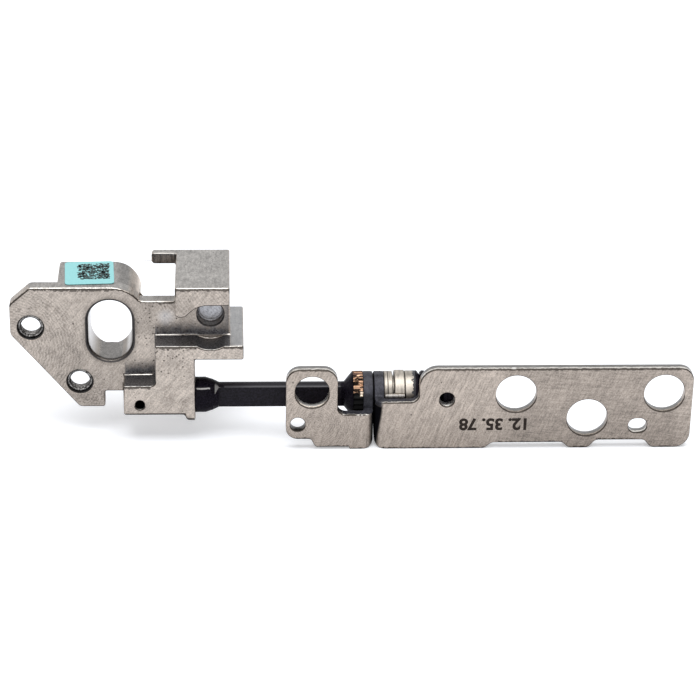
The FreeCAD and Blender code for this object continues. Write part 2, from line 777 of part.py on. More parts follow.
def short_bracket():
    front = AXIS_Y - SHEET_FRONT
    flat_end = LINER_X - EAR_T - BEND_INNER_R
    outline = [
        (SHORT_LEFT, LID_TOP, SHORT_TOP_R),
        (SHORT_NOTCH_LEFT, LID_TOP, SHORT_TOP_R),
        (SHORT_NOTCH_LEFT, SHORT_NOTCH, SHORT_NOTCH_R),
        (flat_end, SHORT_NOTCH, 0.0),
        (flat_end, LID_BOTTOM, 0.0),
        (SHORT_BUMP_X, LID_BOTTOM, SHORT_BUMP_R),
        (SHORT_BUMP_X, SHORT_MID_BOTTOM, SHORT_BUMP_R),
        (SHORT_STEP_X + SHORT_STEP_R, SHORT_MID_BOTTOM, SHORT_STEP_R),
        (SHORT_STEP_X, SHORT_STEP, SHORT_STEP_R),
        (SHORT_LEFT, SHORT_STEP, SHORT_CORNER_R),
    ]
    sheet = front_prism(outline, front, front + SHEET_T)
    sheet = sheet.fuse(bend(LINER_X, flat_end, LID_BOTTOM, SHORT_NOTCH))
    sheet = sheet.fuse(ear(SHORT_EAR_X, LINER_X, SHORT_NOTCH, LID_BOTTOM))
    holes = [
        (SHORT_HOLE_X, SHORT_HOLE_H, SHORT_HOLE_D),
        (SHORT_PILOT_X, SHORT_PILOT_H, SHORT_PILOT_D),
    ]
    corner = ear_corner(LINER_X, flat_end, LID_BOTTOM)
    return sheet.cut(plate_holes(holes) + [corner]).removeSplitter()


def long_bracket():
    front = AXIS_Y - SHEET_FRONT
    flat_start = WASHER_A_X + BEND_INNER_R
    first = LID_BOTTOM + LONG_FIRST_RELIEF
    second = LID_BOTTOM + LONG_SECOND_RELIEF
    run = LONG_RELIEF_RUN
    tab_one_end = LONG_TAB_ONE_X + LONG_TAB_ONE_W
    outline = [
        (flat_start, LONG_NOTCH, 0.0),
        (LONG_NOTCH_RIGHT, LONG_NOTCH, LONG_NOTCH_R),
        (LONG_NOTCH_RIGHT, LID_TOP, LONG_SHOULDER_R),
        (LONG_RIGHT, LID_TOP, LONG_TOP_R),
        (LONG_RIGHT, LID_BOTTOM, LONG_LOW_CORNER_R),
        (LONG_TAB_TWO_X + run, LID_BOTTOM, run),
        (LONG_TAB_TWO_X, second, run),
        (tab_one_end + run, second, run),
        (tab_one_end, LID_BOTTOM, run),
        (LONG_TAB_ONE_X, LID_BOTTOM, run),
        (LONG_TAB_ONE_X - run, first, run),
        (LONG_FIRST_RELIEF_X, first, run),
        (LONG_FIRST_RELIEF_X - run, LID_BOTTOM, run),
        (flat_start, LID_BOTTOM, 0.0),
    ]
    sheet = front_prism(outline, front, front + SHEET_T)
    sheet = sheet.fuse(bend(LONG_EAR_X, flat_start, LID_BOTTOM, LONG_NOTCH))
    sheet = sheet.fuse(ear(LONG_EAR_X, WASHER_A_X, LONG_NOTCH, LID_BOTTOM))
    holes = [
        (LID_HOLE_ONE_X, LID_HOLE_H, LID_HOLE_D),
        (LID_HOLE_THREE_X, LID_HOLE_H, LID_HOLE_D),
        (LID_HOLE_TWO_X, LID_HOLE_TWO_H, LID_HOLE_D),
        (PILOT_X, PILOT_H, PILOT_D),
    ]
    slot = front_prism(obround(SLOT_X, SLOT_H, SLOT_W, SLOT_D), front - OVERCUT, front + SHEET_T + OVERCUT)
    corner = ear_corner(LONG_EAR_X, flat_start, LID_BOTTOM)
    return sheet.cut(plate_holes(holes) + [slot, corner]).removeSplitter()


def all_parts():
    parts = {
        "cast_base_bracket": cast_base_bracket(),
        "label_sticker": label_sticker(),
        "hinge_shaft": hinge_shaft(),
        "shaft_lock_pin": shaft_lock_pin(),
        "serrated_friction_ring": serrated_ring(),
        "short_bracket": short_bracket(),
        "friction_liner": friction_liner(),
        "long_bracket": long_bracket(),
        "friction_washer_a": friction_washer_a(),
        "friction_washer_b": friction_washer_b(),
        "spacer_ring": spacer_ring(),
        "tab_washer": tab_washer(),
        "detent_cam": detent_cam(),
        "cam_follower": cam_follower(),
        "thrust_washer": thrust_washer(),
        "end_washer": end_washer(),
        "lock_nut": lock_nut(),
    }
    for index in range(SPRING_COUNT):
        parts["spring_washer_" + str(index + 1)] = spring_washer(index)
    return parts


os.makedirs("parts", exist_ok=True)
for name, shape in all_parts().items():
    if len(shape.Solids) == 1:
        shape = shape.Solids[0]
    shape.exportStep(os.path.join("parts", name + ".step"))
    box = shape.BoundBox
    print(
        name, "solids", len(shape.Solids), "valid", shape.isValid(), "volume", round(shape.Volume, 2),
        "box", [round(v, 2) for v in (box.XMin, box.YMin, box.ZMin, box.XMax, box.YMax, box.ZMax)]
    )
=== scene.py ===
import json
import math

import bmesh
import bpy
from mathutils import Matrix, Vector


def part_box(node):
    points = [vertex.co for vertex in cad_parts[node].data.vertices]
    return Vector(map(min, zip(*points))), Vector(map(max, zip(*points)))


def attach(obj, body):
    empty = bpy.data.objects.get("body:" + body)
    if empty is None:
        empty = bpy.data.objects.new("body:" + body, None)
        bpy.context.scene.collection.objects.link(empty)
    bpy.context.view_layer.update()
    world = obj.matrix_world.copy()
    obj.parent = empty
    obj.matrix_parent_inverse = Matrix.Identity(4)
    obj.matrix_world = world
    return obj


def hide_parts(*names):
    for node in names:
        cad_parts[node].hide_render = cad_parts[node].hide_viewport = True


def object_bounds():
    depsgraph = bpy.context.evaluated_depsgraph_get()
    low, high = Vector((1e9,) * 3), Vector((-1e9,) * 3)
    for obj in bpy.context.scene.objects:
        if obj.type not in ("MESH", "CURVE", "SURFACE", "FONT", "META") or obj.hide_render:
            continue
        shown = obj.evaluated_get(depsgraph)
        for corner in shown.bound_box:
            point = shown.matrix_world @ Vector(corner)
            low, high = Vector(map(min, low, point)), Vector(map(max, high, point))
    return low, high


bl_info = {
    "name": "Laptop Hinge Finishes",
    "version": (1, 0, 0),
    "blender": (4, 5, 0),
    "location": "View3D > Sidebar > Hinge",
    "description": "Gives a laptop hinge its metals, edges, threads, label, date mark and stage",
    "category": "Object",
}

MM = 0.001

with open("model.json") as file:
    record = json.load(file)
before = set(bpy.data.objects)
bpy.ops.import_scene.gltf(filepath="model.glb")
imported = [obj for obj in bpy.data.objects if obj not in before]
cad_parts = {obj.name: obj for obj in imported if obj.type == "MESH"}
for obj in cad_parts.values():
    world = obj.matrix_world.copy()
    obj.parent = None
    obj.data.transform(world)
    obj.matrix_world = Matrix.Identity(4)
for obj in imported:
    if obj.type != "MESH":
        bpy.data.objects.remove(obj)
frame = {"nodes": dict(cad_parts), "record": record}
cad_low, cad_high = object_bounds()

# Places on the hinge, in millimetres, and the turn of the label, in degrees. Heights (h) are measured
# from the hinge axis, apart from those of the screw holes and the label's top, which are frame heights.
AXIS_BELOW = 5.27
AXIS_Y = -0.9
BLOCK_FRONT = -3.3
LID_FRONT = -5.5
SCREW_HOLES = ((-3.0, 3.825), (3.0, -3.825))
SCREW_HOLE_R = 1.65
SCREW_MINOR_R = 1.25
SCREW_THREAD = (0.35, 1.85)
PASSAGE_X, PASSAGE_MID, PASSAGE_W, PASSAGE_H = 7.0, 8.6, 5.5, 8.2
PIN_X, PIN_MID, PIN_HOLE_R = 10.7, -0.3, 0.575
POCKET_X, POCKET_MID, POCKET_R = 19.7, 10.95, 1.65
POCKET_FLOOR_Y = (1.3, 1.7)
UPPER_LEFT, UPPER_RIGHT = 15.3, 22.15
LOWER_LEFT, LOWER_STEP, LOWER_RIGHT = 8.63, 12.7, 17.7
STEP_TOP, ARM_TOP = 2.42, 8.05
HOOK_LOW = 14.55
SHORT_EAR, LONG_EAR_END = 39.1, 41.75
SHORT_NOTCH, LONG_NOTCH = -0.7, 1.0
LABEL_CENTRE = (4.35, 4.45)
LABEL_TURN = 3.2
LABEL_TOP = 9.43
SPECKLE_ASIDE = (0.55, 0.37)
DATE_CENTRE = (55.75, -2.05)
DATE_SIZE, DATE_WEIGHT, DATE_THICKNESS, DATE_SINK = 2.25, 0.085, 0.004, 0.0085
PACK_JOINTS = (41.8, 42.25, 42.85, 44.4)
TAIL_START, TAIL_END, TAIL_R = 52.25, 52.6, 1.5
LID_HOLES = ((32.5, 2.5, 2.2), (58.4, 2.15, 2.6), (67.6, -1.28, 2.6), (77.3, 2.15, 2.6))
SHORT_PILOT, LONG_PILOT = (30.7, -2.05, 0.95), (49.6, 1.4, 0.975)

# Level front edges as (left, right, front, height), for the lines of painted shade along them
CAST_TOP_EDGES = (
    (-2.9, 8.6, 0.0, 14.62),
    (13.0, 15.2, 0.0, 12.7),
    (UPPER_LEFT, UPPER_RIGHT, BLOCK_FRONT, 16.05),
    (LOWER_STEP, 18.0, BLOCK_FRONT, ARM_TOP),
    (21.2, 23.8, BLOCK_FRONT, ARM_TOP),
    (LOWER_LEFT, LOWER_STEP - 0.6, BLOCK_FRONT, STEP_TOP),
)
SHEET_TOP_EDGES = ((31.0, 35.1, LID_FRONT, 5.7), (49.0, 79.2, LID_FRONT, 5.7))
SHEET_LOW_EDGES = (
    (30.4, 32.3, LID_FRONT, -4.15),
    (33.5, 37.2, LID_FRONT, -5.3),
    (37.4, 39.0, LID_FRONT, -5.6),
    (41.5, 55.5, LID_FRONT, -5.6),
    (56.3, 64.6, LID_FRONT, -4.8),
    (65.6, 67.9, LID_FRONT, -5.6),
    (68.9, 74.1, LID_FRONT, -4.5),
    (75.2, 79.0, LID_FRONT, -5.6),
)

# Slow changes of tone on the front of the casting, as (x, height, reach, core, amount) round a point
# and as (x range, y range, height range, border, amount) in a box
CAST_SPOTS = (
    (1.0, 4.6, 5.2, 1.0, -0.17),
    (0.0, 12.6, 3.6, 1.0, 0.03),
    (14.0, 10.6, 2.2, 0.6, 0.3),
    (2.5, -2.5, 4.5, 1.5, -0.14),
)
CAST_AREAS = (
    ((8.4, 24.0), None, (-3.0, 8.2), 0.3, 0.12),
    ((15.3, 24.0), (-3.5, -3.1), (11.5, 16.2), 0.3, 0.04),
    ((8.0, 24.0), None, (8.5, 13.2), 0.8, -0.14),
)

# Polishing arcs, as (x, height, rings per millimetre, reach, amount) round a centre
CAST_ARCS = ((-6.5, 6.0, 2.6, 13.0, 0.14), (30.0, 22.0, 2.6, 30.0, 0.08))
SHEET_ARCS = ((33.0, -1.8, 3.8, 7.0, 0.12), (84.0, -14.0, 2.6, 30.0, 0.04))
ARC_WANDER = 7.0

# Colours of the places and marks that have no setting of their own
# Painted shade on the shelves with pale speckle in it, and a painted highlight on the upper shelf's rear edge
SHELF_SHADE_DARK, SHELF_SHADE_PALE, SHELF_REAR_HIGHLIGHT = (0.036, 0.036, 0.04), (0.19, 0.187, 0.195), (0.3, 0.29, 0.28)
PASSAGE_HIGHLIGHT = (0.92, 0.91, 0.9)
POCKET_FLOOR = (0.47, 0.47, 0.49)
COOL_REFLECTION = (0.66, 0.68, 0.72)
BROWN_BLOOM = (0.15, 0.122, 0.1)
ARM_REFLECTION = (0.33, 0.345, 0.37)
SLATE = (0.03, 0.03, 0.037)
CUT_GREY = (0.20, 0.195, 0.19)
BURR_HIGHLIGHT = (0.93, 0.92, 0.9)
BEND_SHADE = (0.004, 0.004, 0.005)
WORN_SPOT, SHAFT_GLINT, SHAFT_SHEEN = (0.3, 0.28, 0.25), (0.7, 0.68, 0.66), (0.13, 0.13, 0.14)
DRUM_BLACK = (0.03, 0.03, 0.036)
RIDGE_DARK, RING_SHADE = (0.012, 0.008, 0.006), (0.07, 0.042, 0.034)
RING_GREASE_AND_SHADE, RING_GLINT = (0.004, 0.004, 0.004), (0.85, 0.70, 0.55)

# Mesh clean-up: corners closer than this are one (mm), faces flatter than this are one and edges
# sharper than this stay sharp (degrees)
MERGE_DISTANCE = 0.002
FLAT_ANGLE = 0.5
SHARP_ANGLE = 40

# Rounding of small parts (mm), the least angle that is rounded on turned ones (degrees) and how far
# the finished sheet sits behind the CAD front, which leaves room for the date mark (mm)
LABEL_EDGE, SHAFT_EDGE, PACK_EDGE = 0.02, 0.06, 0.05
TURNED_ANGLE = 25
SHEET_SINK = 0.012

# Thread ridges (mm), and how many times finer the shaft's thread is
SCREW_RIDGE, TAIL_RIDGE = 0.24, 0.06
TAIL_FINER = 2.5

# Stage: what the camera aims at (mm) and what the lights aim at (m)
CAMERA_TARGET = (37.16, -5.5, 3.25)
LIT_POINT = (0.04, 0.0, 0.0)
FLOOR_SIZE = 6.0


# Mesh helpers
def clean_mesh(node):
    """A copy of a node's mesh with its corners merged and its flat faces joined."""
    mesh = bmesh.new()
    mesh.from_mesh(frame["nodes"][node].data)
    bmesh.ops.remove_doubles(mesh, verts=mesh.verts, dist=MERGE_DISTANCE * MM)
    bmesh.ops.dissolve_limit(
        mesh, angle_limit=math.radians(FLAT_ANGLE), verts=mesh.verts[:], edges=mesh.edges[:]
    )
    mesh.normal_update()
    return mesh


def round_edges(mesh, width, segments, least_angle):
    """Rounds the sharp edges of a mesh."""
    sharp = [
        edge
        for edge in mesh.edges
        if len(edge.link_faces) == 2 and edge.calc_face_angle(0.0) > math.radians(least_angle)
    ]
    bmesh.ops.bevel(
        mesh,
        geom=sharp,
        offset=width * MM,
        offset_type="OFFSET",
        segments=segments,
        profile=0.5,
        affect="EDGES",
        clamp_overlap=False,
        material=-1,
    )


def add_piece(name, mesh, materials, body):
    """Turns a bmesh into a smooth-shaded piece that moves with its body."""
    data = bpy.data.meshes.new(name)
    mesh.to_mesh(data)
    mesh.free()
    data.shade_smooth()
    data.set_sharp_from_angle(angle=math.radians(SHARP_ANGLE))
    piece = place_mesh(name, data, materials, body)
    weighted = piece.modifiers.new("even_shading", "WEIGHTED_NORMAL")
    weighted.keep_sharp = True
    return piece


def place_mesh(name, data, materials, body):
    """Puts a mesh in the scene as a piece of its body, with its finishes."""
    for material in materials:
        data.materials.append(material)
    piece = bpy.data.objects.new(name, data)
    bpy.context.scene.collection.objects.link(piece)
    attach(piece, body)
    return piece


def dress(node, body, finish, edge, segments=2, least_angle=30, sink=0.0):
    """Replaces a node by a copy with rounded edges and its finish. Its front may be sunk a little."""
    mesh = clean_mesh(node)
    round_edges(mesh, edge, segments, least_angle)
    low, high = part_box(node)
    low = Vector((low[0], low[1] + sink * MM, low[2]))
    for vert in mesh.verts:
        vert.co = [min(max(value, least), most) for value, least, most in zip(vert.co, low, high)]
    piece = add_piece(node + "_finished", mesh, [finish], body)
    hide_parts(node)
    return piece


# Material helpers
class Graph:
    """Short ways to add and join the nodes of one material. Lengths are in millimetres."""

    def __init__(self, name):
        self.material = bpy.data.materials.new(name)
        self.material.use_nodes = True
        self.tree = self.material.node_tree
        self.tree.nodes.clear()
        coordinates = self.add("ShaderNodeTexCoord")
        scaled = self.add("ShaderNodeVectorMath", operation="SCALE")
        self.put(scaled.inputs[0], coordinates.outputs["Object"])
        self.put(scaled.inputs["Scale"], 1 / MM)
        self.place = scaled.outputs[0]
        split = self.add("ShaderNodeSeparateXYZ")
        self.put(split.inputs[0], self.place)
        self.x, self.y, z = split.outputs
        self.h = self.math("ADD", z, AXIS_BELOW)
        facing = self.add("ShaderNodeSeparateXYZ")
        self.put(facing.inputs[0], coordinates.outputs["Normal"])
        self.facing_x, self.facing_y, self.facing_z = facing.outputs

    def add(self, kind, **settings):
        node = self.tree.nodes.new(kind)
        for name, value in settings.items():
            setattr(node, name, value)
        return node

    def put(self, socket, value):
        if isinstance(value, bpy.types.NodeSocket):
            self.tree.links.new(value, socket)
        else:
            socket.default_value = value

    def math(self, operation, first, second=0.0, third=0.0):
        node = self.add("ShaderNodeMath", operation=operation)
        for socket, value in zip(node.inputs, (first, second, third)):
            self.put(socket, value)
        return node.outputs[0]

    def chain(self, operation, values):
        result = values[0]
        for value in values[1:]:
            result = self.math(operation, result, value)
        return result

    def times(self, *values):
        return self.chain("MULTIPLY", values)

    def plus(self, *values):
        return self.chain("ADD", values)

    def either(self, *values):
        return self.chain("MAXIMUM", values)

    def other(self, value):
        return self.math("SUBTRACT", 1.0, value)

    def apart(self, first, second):
        return self.math("ABSOLUTE", self.math("SUBTRACT", first, second))

    def ramp(self, value, start, end, low=0.0, high=1.0):
        """A smooth step from low at start to high at end."""
        if start > end:
            start, end, low, high = end, start, high, low
        node = self.add("ShaderNodeMapRange", interpolation_type="SMOOTHSTEP")
        for socket, number in zip(node.inputs[:5], (value, start, end, low, high)):
            self.put(socket, number)
        return node.outputs[0]

    def swing(self, value, amount, start=0.3, end=0.7):
        """Turns a noise into a change between minus and plus an amount."""
        return self.ramp(value, start, end, -amount, amount)

    def between(self, value, start, end, soft=0.03):
        """One between start and end, with soft borders."""
        return self.times(self.ramp(value, start - soft, start + soft), self.ramp(value, end + soft, end - soft))

    def region(self, x=None, y=None, h=None, soft=0.03):
        """One inside a box given by the ranges that are stated."""
        parts = []
        for value, limits in ((self.x, x), (self.y, y), (self.h, h)):
            if limits:
                parts.append(self.between(value, limits[0], limits[1], soft))
        return self.times(*parts)

    def faces_front(self):
        return self.ramp(self.facing_y, -0.85, -0.95)

    def faces_up(self):
        return self.ramp(self.facing_z, 0.8, 0.9)

    def noise(self, scale, stretch=(1, 1, 1), turn=0.0, shift=0.0, detail=3.0, roughness=0.6):
        """Noise with so many features per millimetre, drawn out along its axes after a turn about Y.

        The shift keeps the layers of a finish from matching.
        """
        mapping = self.add("ShaderNodeMapping", vector_type="TEXTURE")
        self.put(mapping.inputs["Vector"], self.place)
        mapping.inputs["Location"].default_value = (shift, shift, shift)
        mapping.inputs["Rotation"].default_value = (0, math.radians(turn), 0)
        mapping.inputs["Scale"].default_value = stretch
        node = self.add("ShaderNodeTexNoise")
        self.put(node.inputs["Vector"], mapping.outputs[0])
        node.inputs["Scale"].default_value = scale
        node.inputs["Detail"].default_value = detail
        node.inputs["Roughness"].default_value = roughness
        return node.outputs["Fac"]

    def arcs(self, x, h, rings):
        """Fine arcs round a centre in the front view, with so many rings per millimetre."""
        mapping = self.add("ShaderNodeMapping", vector_type="TEXTURE")
        self.put(mapping.inputs["Vector"], self.place)
        mapping.inputs["Location"].default_value = (x, 0, h - AXIS_BELOW)
        node = self.add("ShaderNodeTexWave", wave_type="RINGS", rings_direction="Y")
        self.put(node.inputs["Vector"], mapping.outputs[0])
        node.inputs["Scale"].default_value = rings * 2 * math.pi / 20  # the texture's own phase factor
        node.inputs["Distortion"].default_value = ARC_WANDER
        node.inputs["Detail"].default_value = 3.0
        node.inputs["Detail Scale"].default_value = 1.6
        return node.outputs["Fac"]

    def pits(self, scale, size, share):
        """Small spots: so many cells per millimetre, spot size, and the share of cells used."""
        node = self.add("ShaderNodeTexVoronoi")
        self.put(node.inputs["Vector"], self.place)
        node.inputs["Scale"].default_value = scale
        chosen = self.add("ShaderNodeSeparateColor")
        self.put(chosen.inputs[0], node.outputs["Color"])
        picked = self.math("LESS_THAN", chosen.outputs[0], share)
        return self.times(self.ramp(node.outputs["Distance"], size, size * 0.5), picked)

    def distance(self, x, h):
        """How far a point is from (x, h) in the front view."""
        across = self.math("SUBTRACT", self.x, x)
        up = self.math("SUBTRACT", self.h, h)
        return self.math("SQRT", self.plus(self.times(across, across), self.times(up, up)))

    def slot_distance(self, x, h, width, height):
        """How far a point is outside an upright slot with round ends, in the front view."""
        across = self.apart(self.x, x)
        up = self.apart(self.h, h)
        beyond = self.math("MAXIMUM", self.math("SUBTRACT", up, (height - width) / 2), 0.0)
        length = self.math("SQRT", self.plus(self.times(across, across), self.times(beyond, beyond)))
        return self.math("SUBTRACT", length, width / 2)

    def mix(self, share, first, second):
        node = self.add("ShaderNodeMix", data_type="RGBA")
        self.put(node.inputs[0], share)
        for socket, value in ((node.inputs[6], first), (node.inputs[7], second)):
            self.put(socket, value if isinstance(value, bpy.types.NodeSocket) else (*value, 1.0))
        return node.outputs[2]

    def coats(self, colour, *coats):
        """Lays coats over a colour in turn, each given as its share and its colour."""
        for share, coat in coats:
            colour = self.mix(share, colour, coat)
        return colour

    def shade(self, colour, amount):
        """Multiplies a colour, plain or from a node, by an amount."""
        node = self.add("ShaderNodeVectorMath", operation="SCALE")
        self.put(node.inputs[0], colour)
        self.put(node.inputs["Scale"], amount)
        return node.outputs[0]

    def bump(self, height, depth):
        node = self.add("ShaderNodeBump")
        node.inputs["Strength"].default_value = 1.0
        node.inputs["Distance"].default_value = depth * MM
        self.put(node.inputs["Height"], height)
        return node.outputs[0]

    def finish(self, colour, roughness, metallic, normal=None, specular=0.5):
        shader = self.add("ShaderNodeBsdfPrincipled")
        self.put(shader.inputs["Base Color"], colour)
        self.put(shader.inputs["Roughness"], roughness)
        self.put(shader.inputs["Metallic"], metallic)
        self.put(shader.inputs["Specular IOR Level"], specular)
        if normal is not None:
            self.put(shader.inputs["Normal"], normal)
        output = self.add("ShaderNodeOutputMaterial")
        self.put(output.inputs["Surface"], shader.outputs[0])
        return self.material


# Finishes
def steel_grain(graph, turn, arcs, cloud=1.0):
    """Grain, blotches, slanting scratches and polishing arcs: a factor near one and a height."""
    upright = graph.other(graph.faces_up())
    fine = graph.noise(5.5, roughness=0.7)
    coarse = graph.noise(1.5, shift=7.0)
    blotch = graph.noise(0.33, shift=13.0)
    brushed = graph.noise(5.0, (7, 1, 1), turn, 3.0, 2.0, 0.5)
    scratched = graph.noise(7.0, (16, 1, 1), turn + 9, 23.0, 2.0)
    rubbed = graph.noise(3.4, (1, 4, 1), shift=27.0, roughness=0.65)
    factor = graph.plus(
        graph.swing(fine, 0.24),
        graph.swing(coarse, 0.10 * cloud),
        graph.swing(blotch, 0.09 * cloud, 0.35, 0.65),
        graph.times(upright, graph.swing(brushed, 0.13)),
        graph.times(upright, graph.ramp(scratched, 0.58, 0.74, 0.0, 0.22)),
        graph.times(graph.faces_up(), graph.swing(rubbed, 0.17, 0.32, 0.68)),
        1.0,
    )
    height = graph.plus(fine, coarse, graph.times(upright, brushed))
    for x, h, rings, reach, amount in arcs:
        ring = graph.arcs(x, h, rings)
        near = graph.times(upright, graph.ramp(graph.distance(x, h), reach, reach * 0.6))
        factor = graph.plus(factor, graph.times(near, graph.swing(ring, amount, 0.0, 1.0)))
    return factor, height


def edge_lines(graph):
    """Rounded front edges: a painted highlight where they face up, and painted shade below it and underneath."""
    wander = graph.ramp(graph.noise(2.0, shift=17.0), 0.3, 0.7, 0.88, 1.12)
    slope = graph.times(graph.facing_z, wander)
    front = graph.times(graph.ramp(graph.facing_y, -0.1, -0.25), graph.ramp(graph.facing_y, -0.999, -0.985))
    level = graph.ramp(graph.math("ABSOLUTE", graph.facing_x), 0.3, 0.15)
    lit = graph.times(front, level, graph.ramp(slope, 0.62, 0.70))
    dark = graph.times(front, graph.ramp(slope, 0.03, 0.12), graph.ramp(slope, 0.72, 0.62))
    under = graph.times(front, graph.ramp(slope, -0.15, -0.45))
    return lit, graph.either(dark, under)


def shade_lines_along(graph, edges, width):
    """Ragged lines of painted shade on the front faces along level edges, given as (left, right, front, height)."""
    ragged = graph.swing(graph.noise(2.4, shift=19.0), 0.4 * width)
    lines = 0.0
    for left, right, front, level in edges:
        near = graph.region(x=(left, right), y=(front - 0.15, front + 0.15), soft=0.1)
        away = graph.plus(graph.apart(graph.h, level), ragged)
        lines = graph.either(lines, graph.times(near, graph.ramp(away, width + 0.07, width - 0.07)))
    return graph.times(lines, graph.faces_front())


def shelf_shade(graph, smear):
    """Painted shade on the two shelves and their end wall, and on the front faces above and beside them."""
    top = graph.region(x=(LOWER_STEP - 0.2, UPPER_RIGHT), y=(BLOCK_FRONT, -0.2), h=(7.4, ARM_TOP + 0.1))
    low = graph.region(x=(LOWER_LEFT - 0.1, LOWER_STEP + 0.1), y=(BLOCK_FRONT, -0.2), h=(2.2, STEP_TOP + 0.1))
    bands = graph.times(graph.either(top, low), graph.ramp(graph.facing_z, 0.6, 0.9))
    end = graph.region(x=(11.9, LOWER_STEP + 0.1), y=(BLOCK_FRONT + 0.1, -0.05), h=(2.3, ARM_TOP))
    wall = graph.times(end, graph.ramp(graph.facing_x, -0.3, -0.6))
    level = graph.plus(graph.h, graph.swing(smear, 0.35))
    corner_shade = 0.0
    for x, h, border, along, clean, black, most in (
        ((LOWER_STEP, UPPER_RIGHT), (8.1, 10.5), 0.03, level, 10.1, 8.3, 0.97),
        ((LOWER_LEFT + 0.15, LOWER_STEP), (2.5, 5.5), 0.1, level, 4.5, 2.8, 0.97),
        ((20.4, UPPER_RIGHT), (8.1, 12.5), 0.03, graph.x, 20.7, 22.0, 0.7),
    ):
        area = graph.region(x=x, y=(-0.15, 0.2), h=h, soft=border)
        corner_shade = graph.either(corner_shade, graph.times(area, graph.ramp(along, clean, black, 0.0, most)))
    return graph.either(bands, wall, graph.times(corner_shade, graph.faces_front()))


def from_screw_holes(graph):
    """How far a point is from the centre of the nearer base screw hole, in the front view."""
    return graph.chain("MINIMUM", [graph.distance(x, AXIS_BELOW + z) for x, z in SCREW_HOLES])


def recess_shade(graph, holes):
    """Painted shade: thin dark rims round the pocket and the screw holes, and the dark pin hole and front of the
    hook.
    """
    pocket = graph.distance(POCKET_X, POCKET_MID)
    rim = graph.between(pocket, POCKET_R - 0.02, POCKET_R + 0.16, 0.05)
    floor_ring = graph.between(pocket, POCKET_R - 0.3, POCKET_R - 0.08, 0.05)
    marks = graph.either(
        graph.times(rim, graph.region(y=(-0.2, POCKET_FLOOR_Y[1])), 0.8),
        graph.times(floor_ring, graph.region(y=POCKET_FLOOR_Y), 0.6),
        graph.times(graph.between(holes, SCREW_HOLE_R - 0.1, SCREW_HOLE_R + 0.1, 0.04), 0.9),
    )
    pin = graph.ramp(graph.distance(PIN_X, PIN_MID), PIN_HOLE_R + 0.14, PIN_HOLE_R + 0.02)
    marks = graph.either(marks, graph.times(pin, graph.ramp(graph.y, -2.0, -2.3)))
    hook = graph.region(x=(11.9, UPPER_LEFT + 0.1), y=(7.0, 7.45), h=(HOOK_LOW - 0.1, 16.2))
    lines = graph.ramp(graph.noise(3.5, (1, 1, 6)), 0.3, 0.7, 0.55, 0.85)
    return graph.either(marks, graph.times(hook, graph.ramp(graph.facing_y, -0.3, -0.5), lines))


def screw_hole_walls(graph, holes):
    """How much of a wall of a screw hole takes painted shade: all but the sides."""
    wall = graph.ramp(holes, SCREW_HOLE_R + 0.04, SCREW_HOLE_R)
    sides = graph.ramp(graph.math("ABSOLUTE", graph.facing_x), 0.55, 0.9)
    return graph.times(wall, graph.ramp(sides, 0.0, 1.0, 0.9, 0.35))


def passage_rim(graph, passage):
    """Painted shade on the chamfer round the cable passage, lighter inside its lower end, where it faces up."""
    rim = graph.times(graph.between(passage, 0.0, 0.4, 0.05), graph.region(y=(-0.3, 0.6)))
    inside = graph.times(graph.ramp(graph.facing_z, 0.3, 0.6), graph.ramp(passage, 0.24, 0.16))
    return graph.times(rim, graph.ramp(inside, 0.0, 1.0, 0.9, 0.6))


def cast_tone(graph):
    """The slow change of tone over the casting, with streaks of painted shade and painted reflection on the tube's
    flank.
    """
    change = 0.0
    for x, h, reach, core, amount in CAST_SPOTS:
        change = graph.plus(change, graph.ramp(graph.distance(x, h), reach, core, 0.0, amount))
    for x, y, h, border, amount in CAST_AREAS:
        change = graph.plus(change, graph.times(graph.region(x=x, y=y, h=h, soft=border), amount))
    tone = graph.plus(1.0, graph.times(graph.faces_front(), change))
    ledge = graph.region(x=(-6.0, 11.0), h=(14.0, 15.0), soft=0.2)
    tone = graph.plus(tone, graph.times(graph.faces_up(), ledge, -0.16))
    # Streaks on the tube's flank, picked by the way it faces: painted shade, and a bright painted reflection further
    # round
    flank = graph.region(x=(8.0, 11.2), y=(2.0, 8.3), h=(9.0, 14.6), soft=0.2)
    streak = graph.plus(
        graph.between(graph.facing_x, 0.2, 0.6, 0.12), graph.ramp(graph.facing_x, 0.65, 0.85, 0.0, -4.5)
    )
    return graph.plus(tone, graph.times(flank, streak, -0.3))


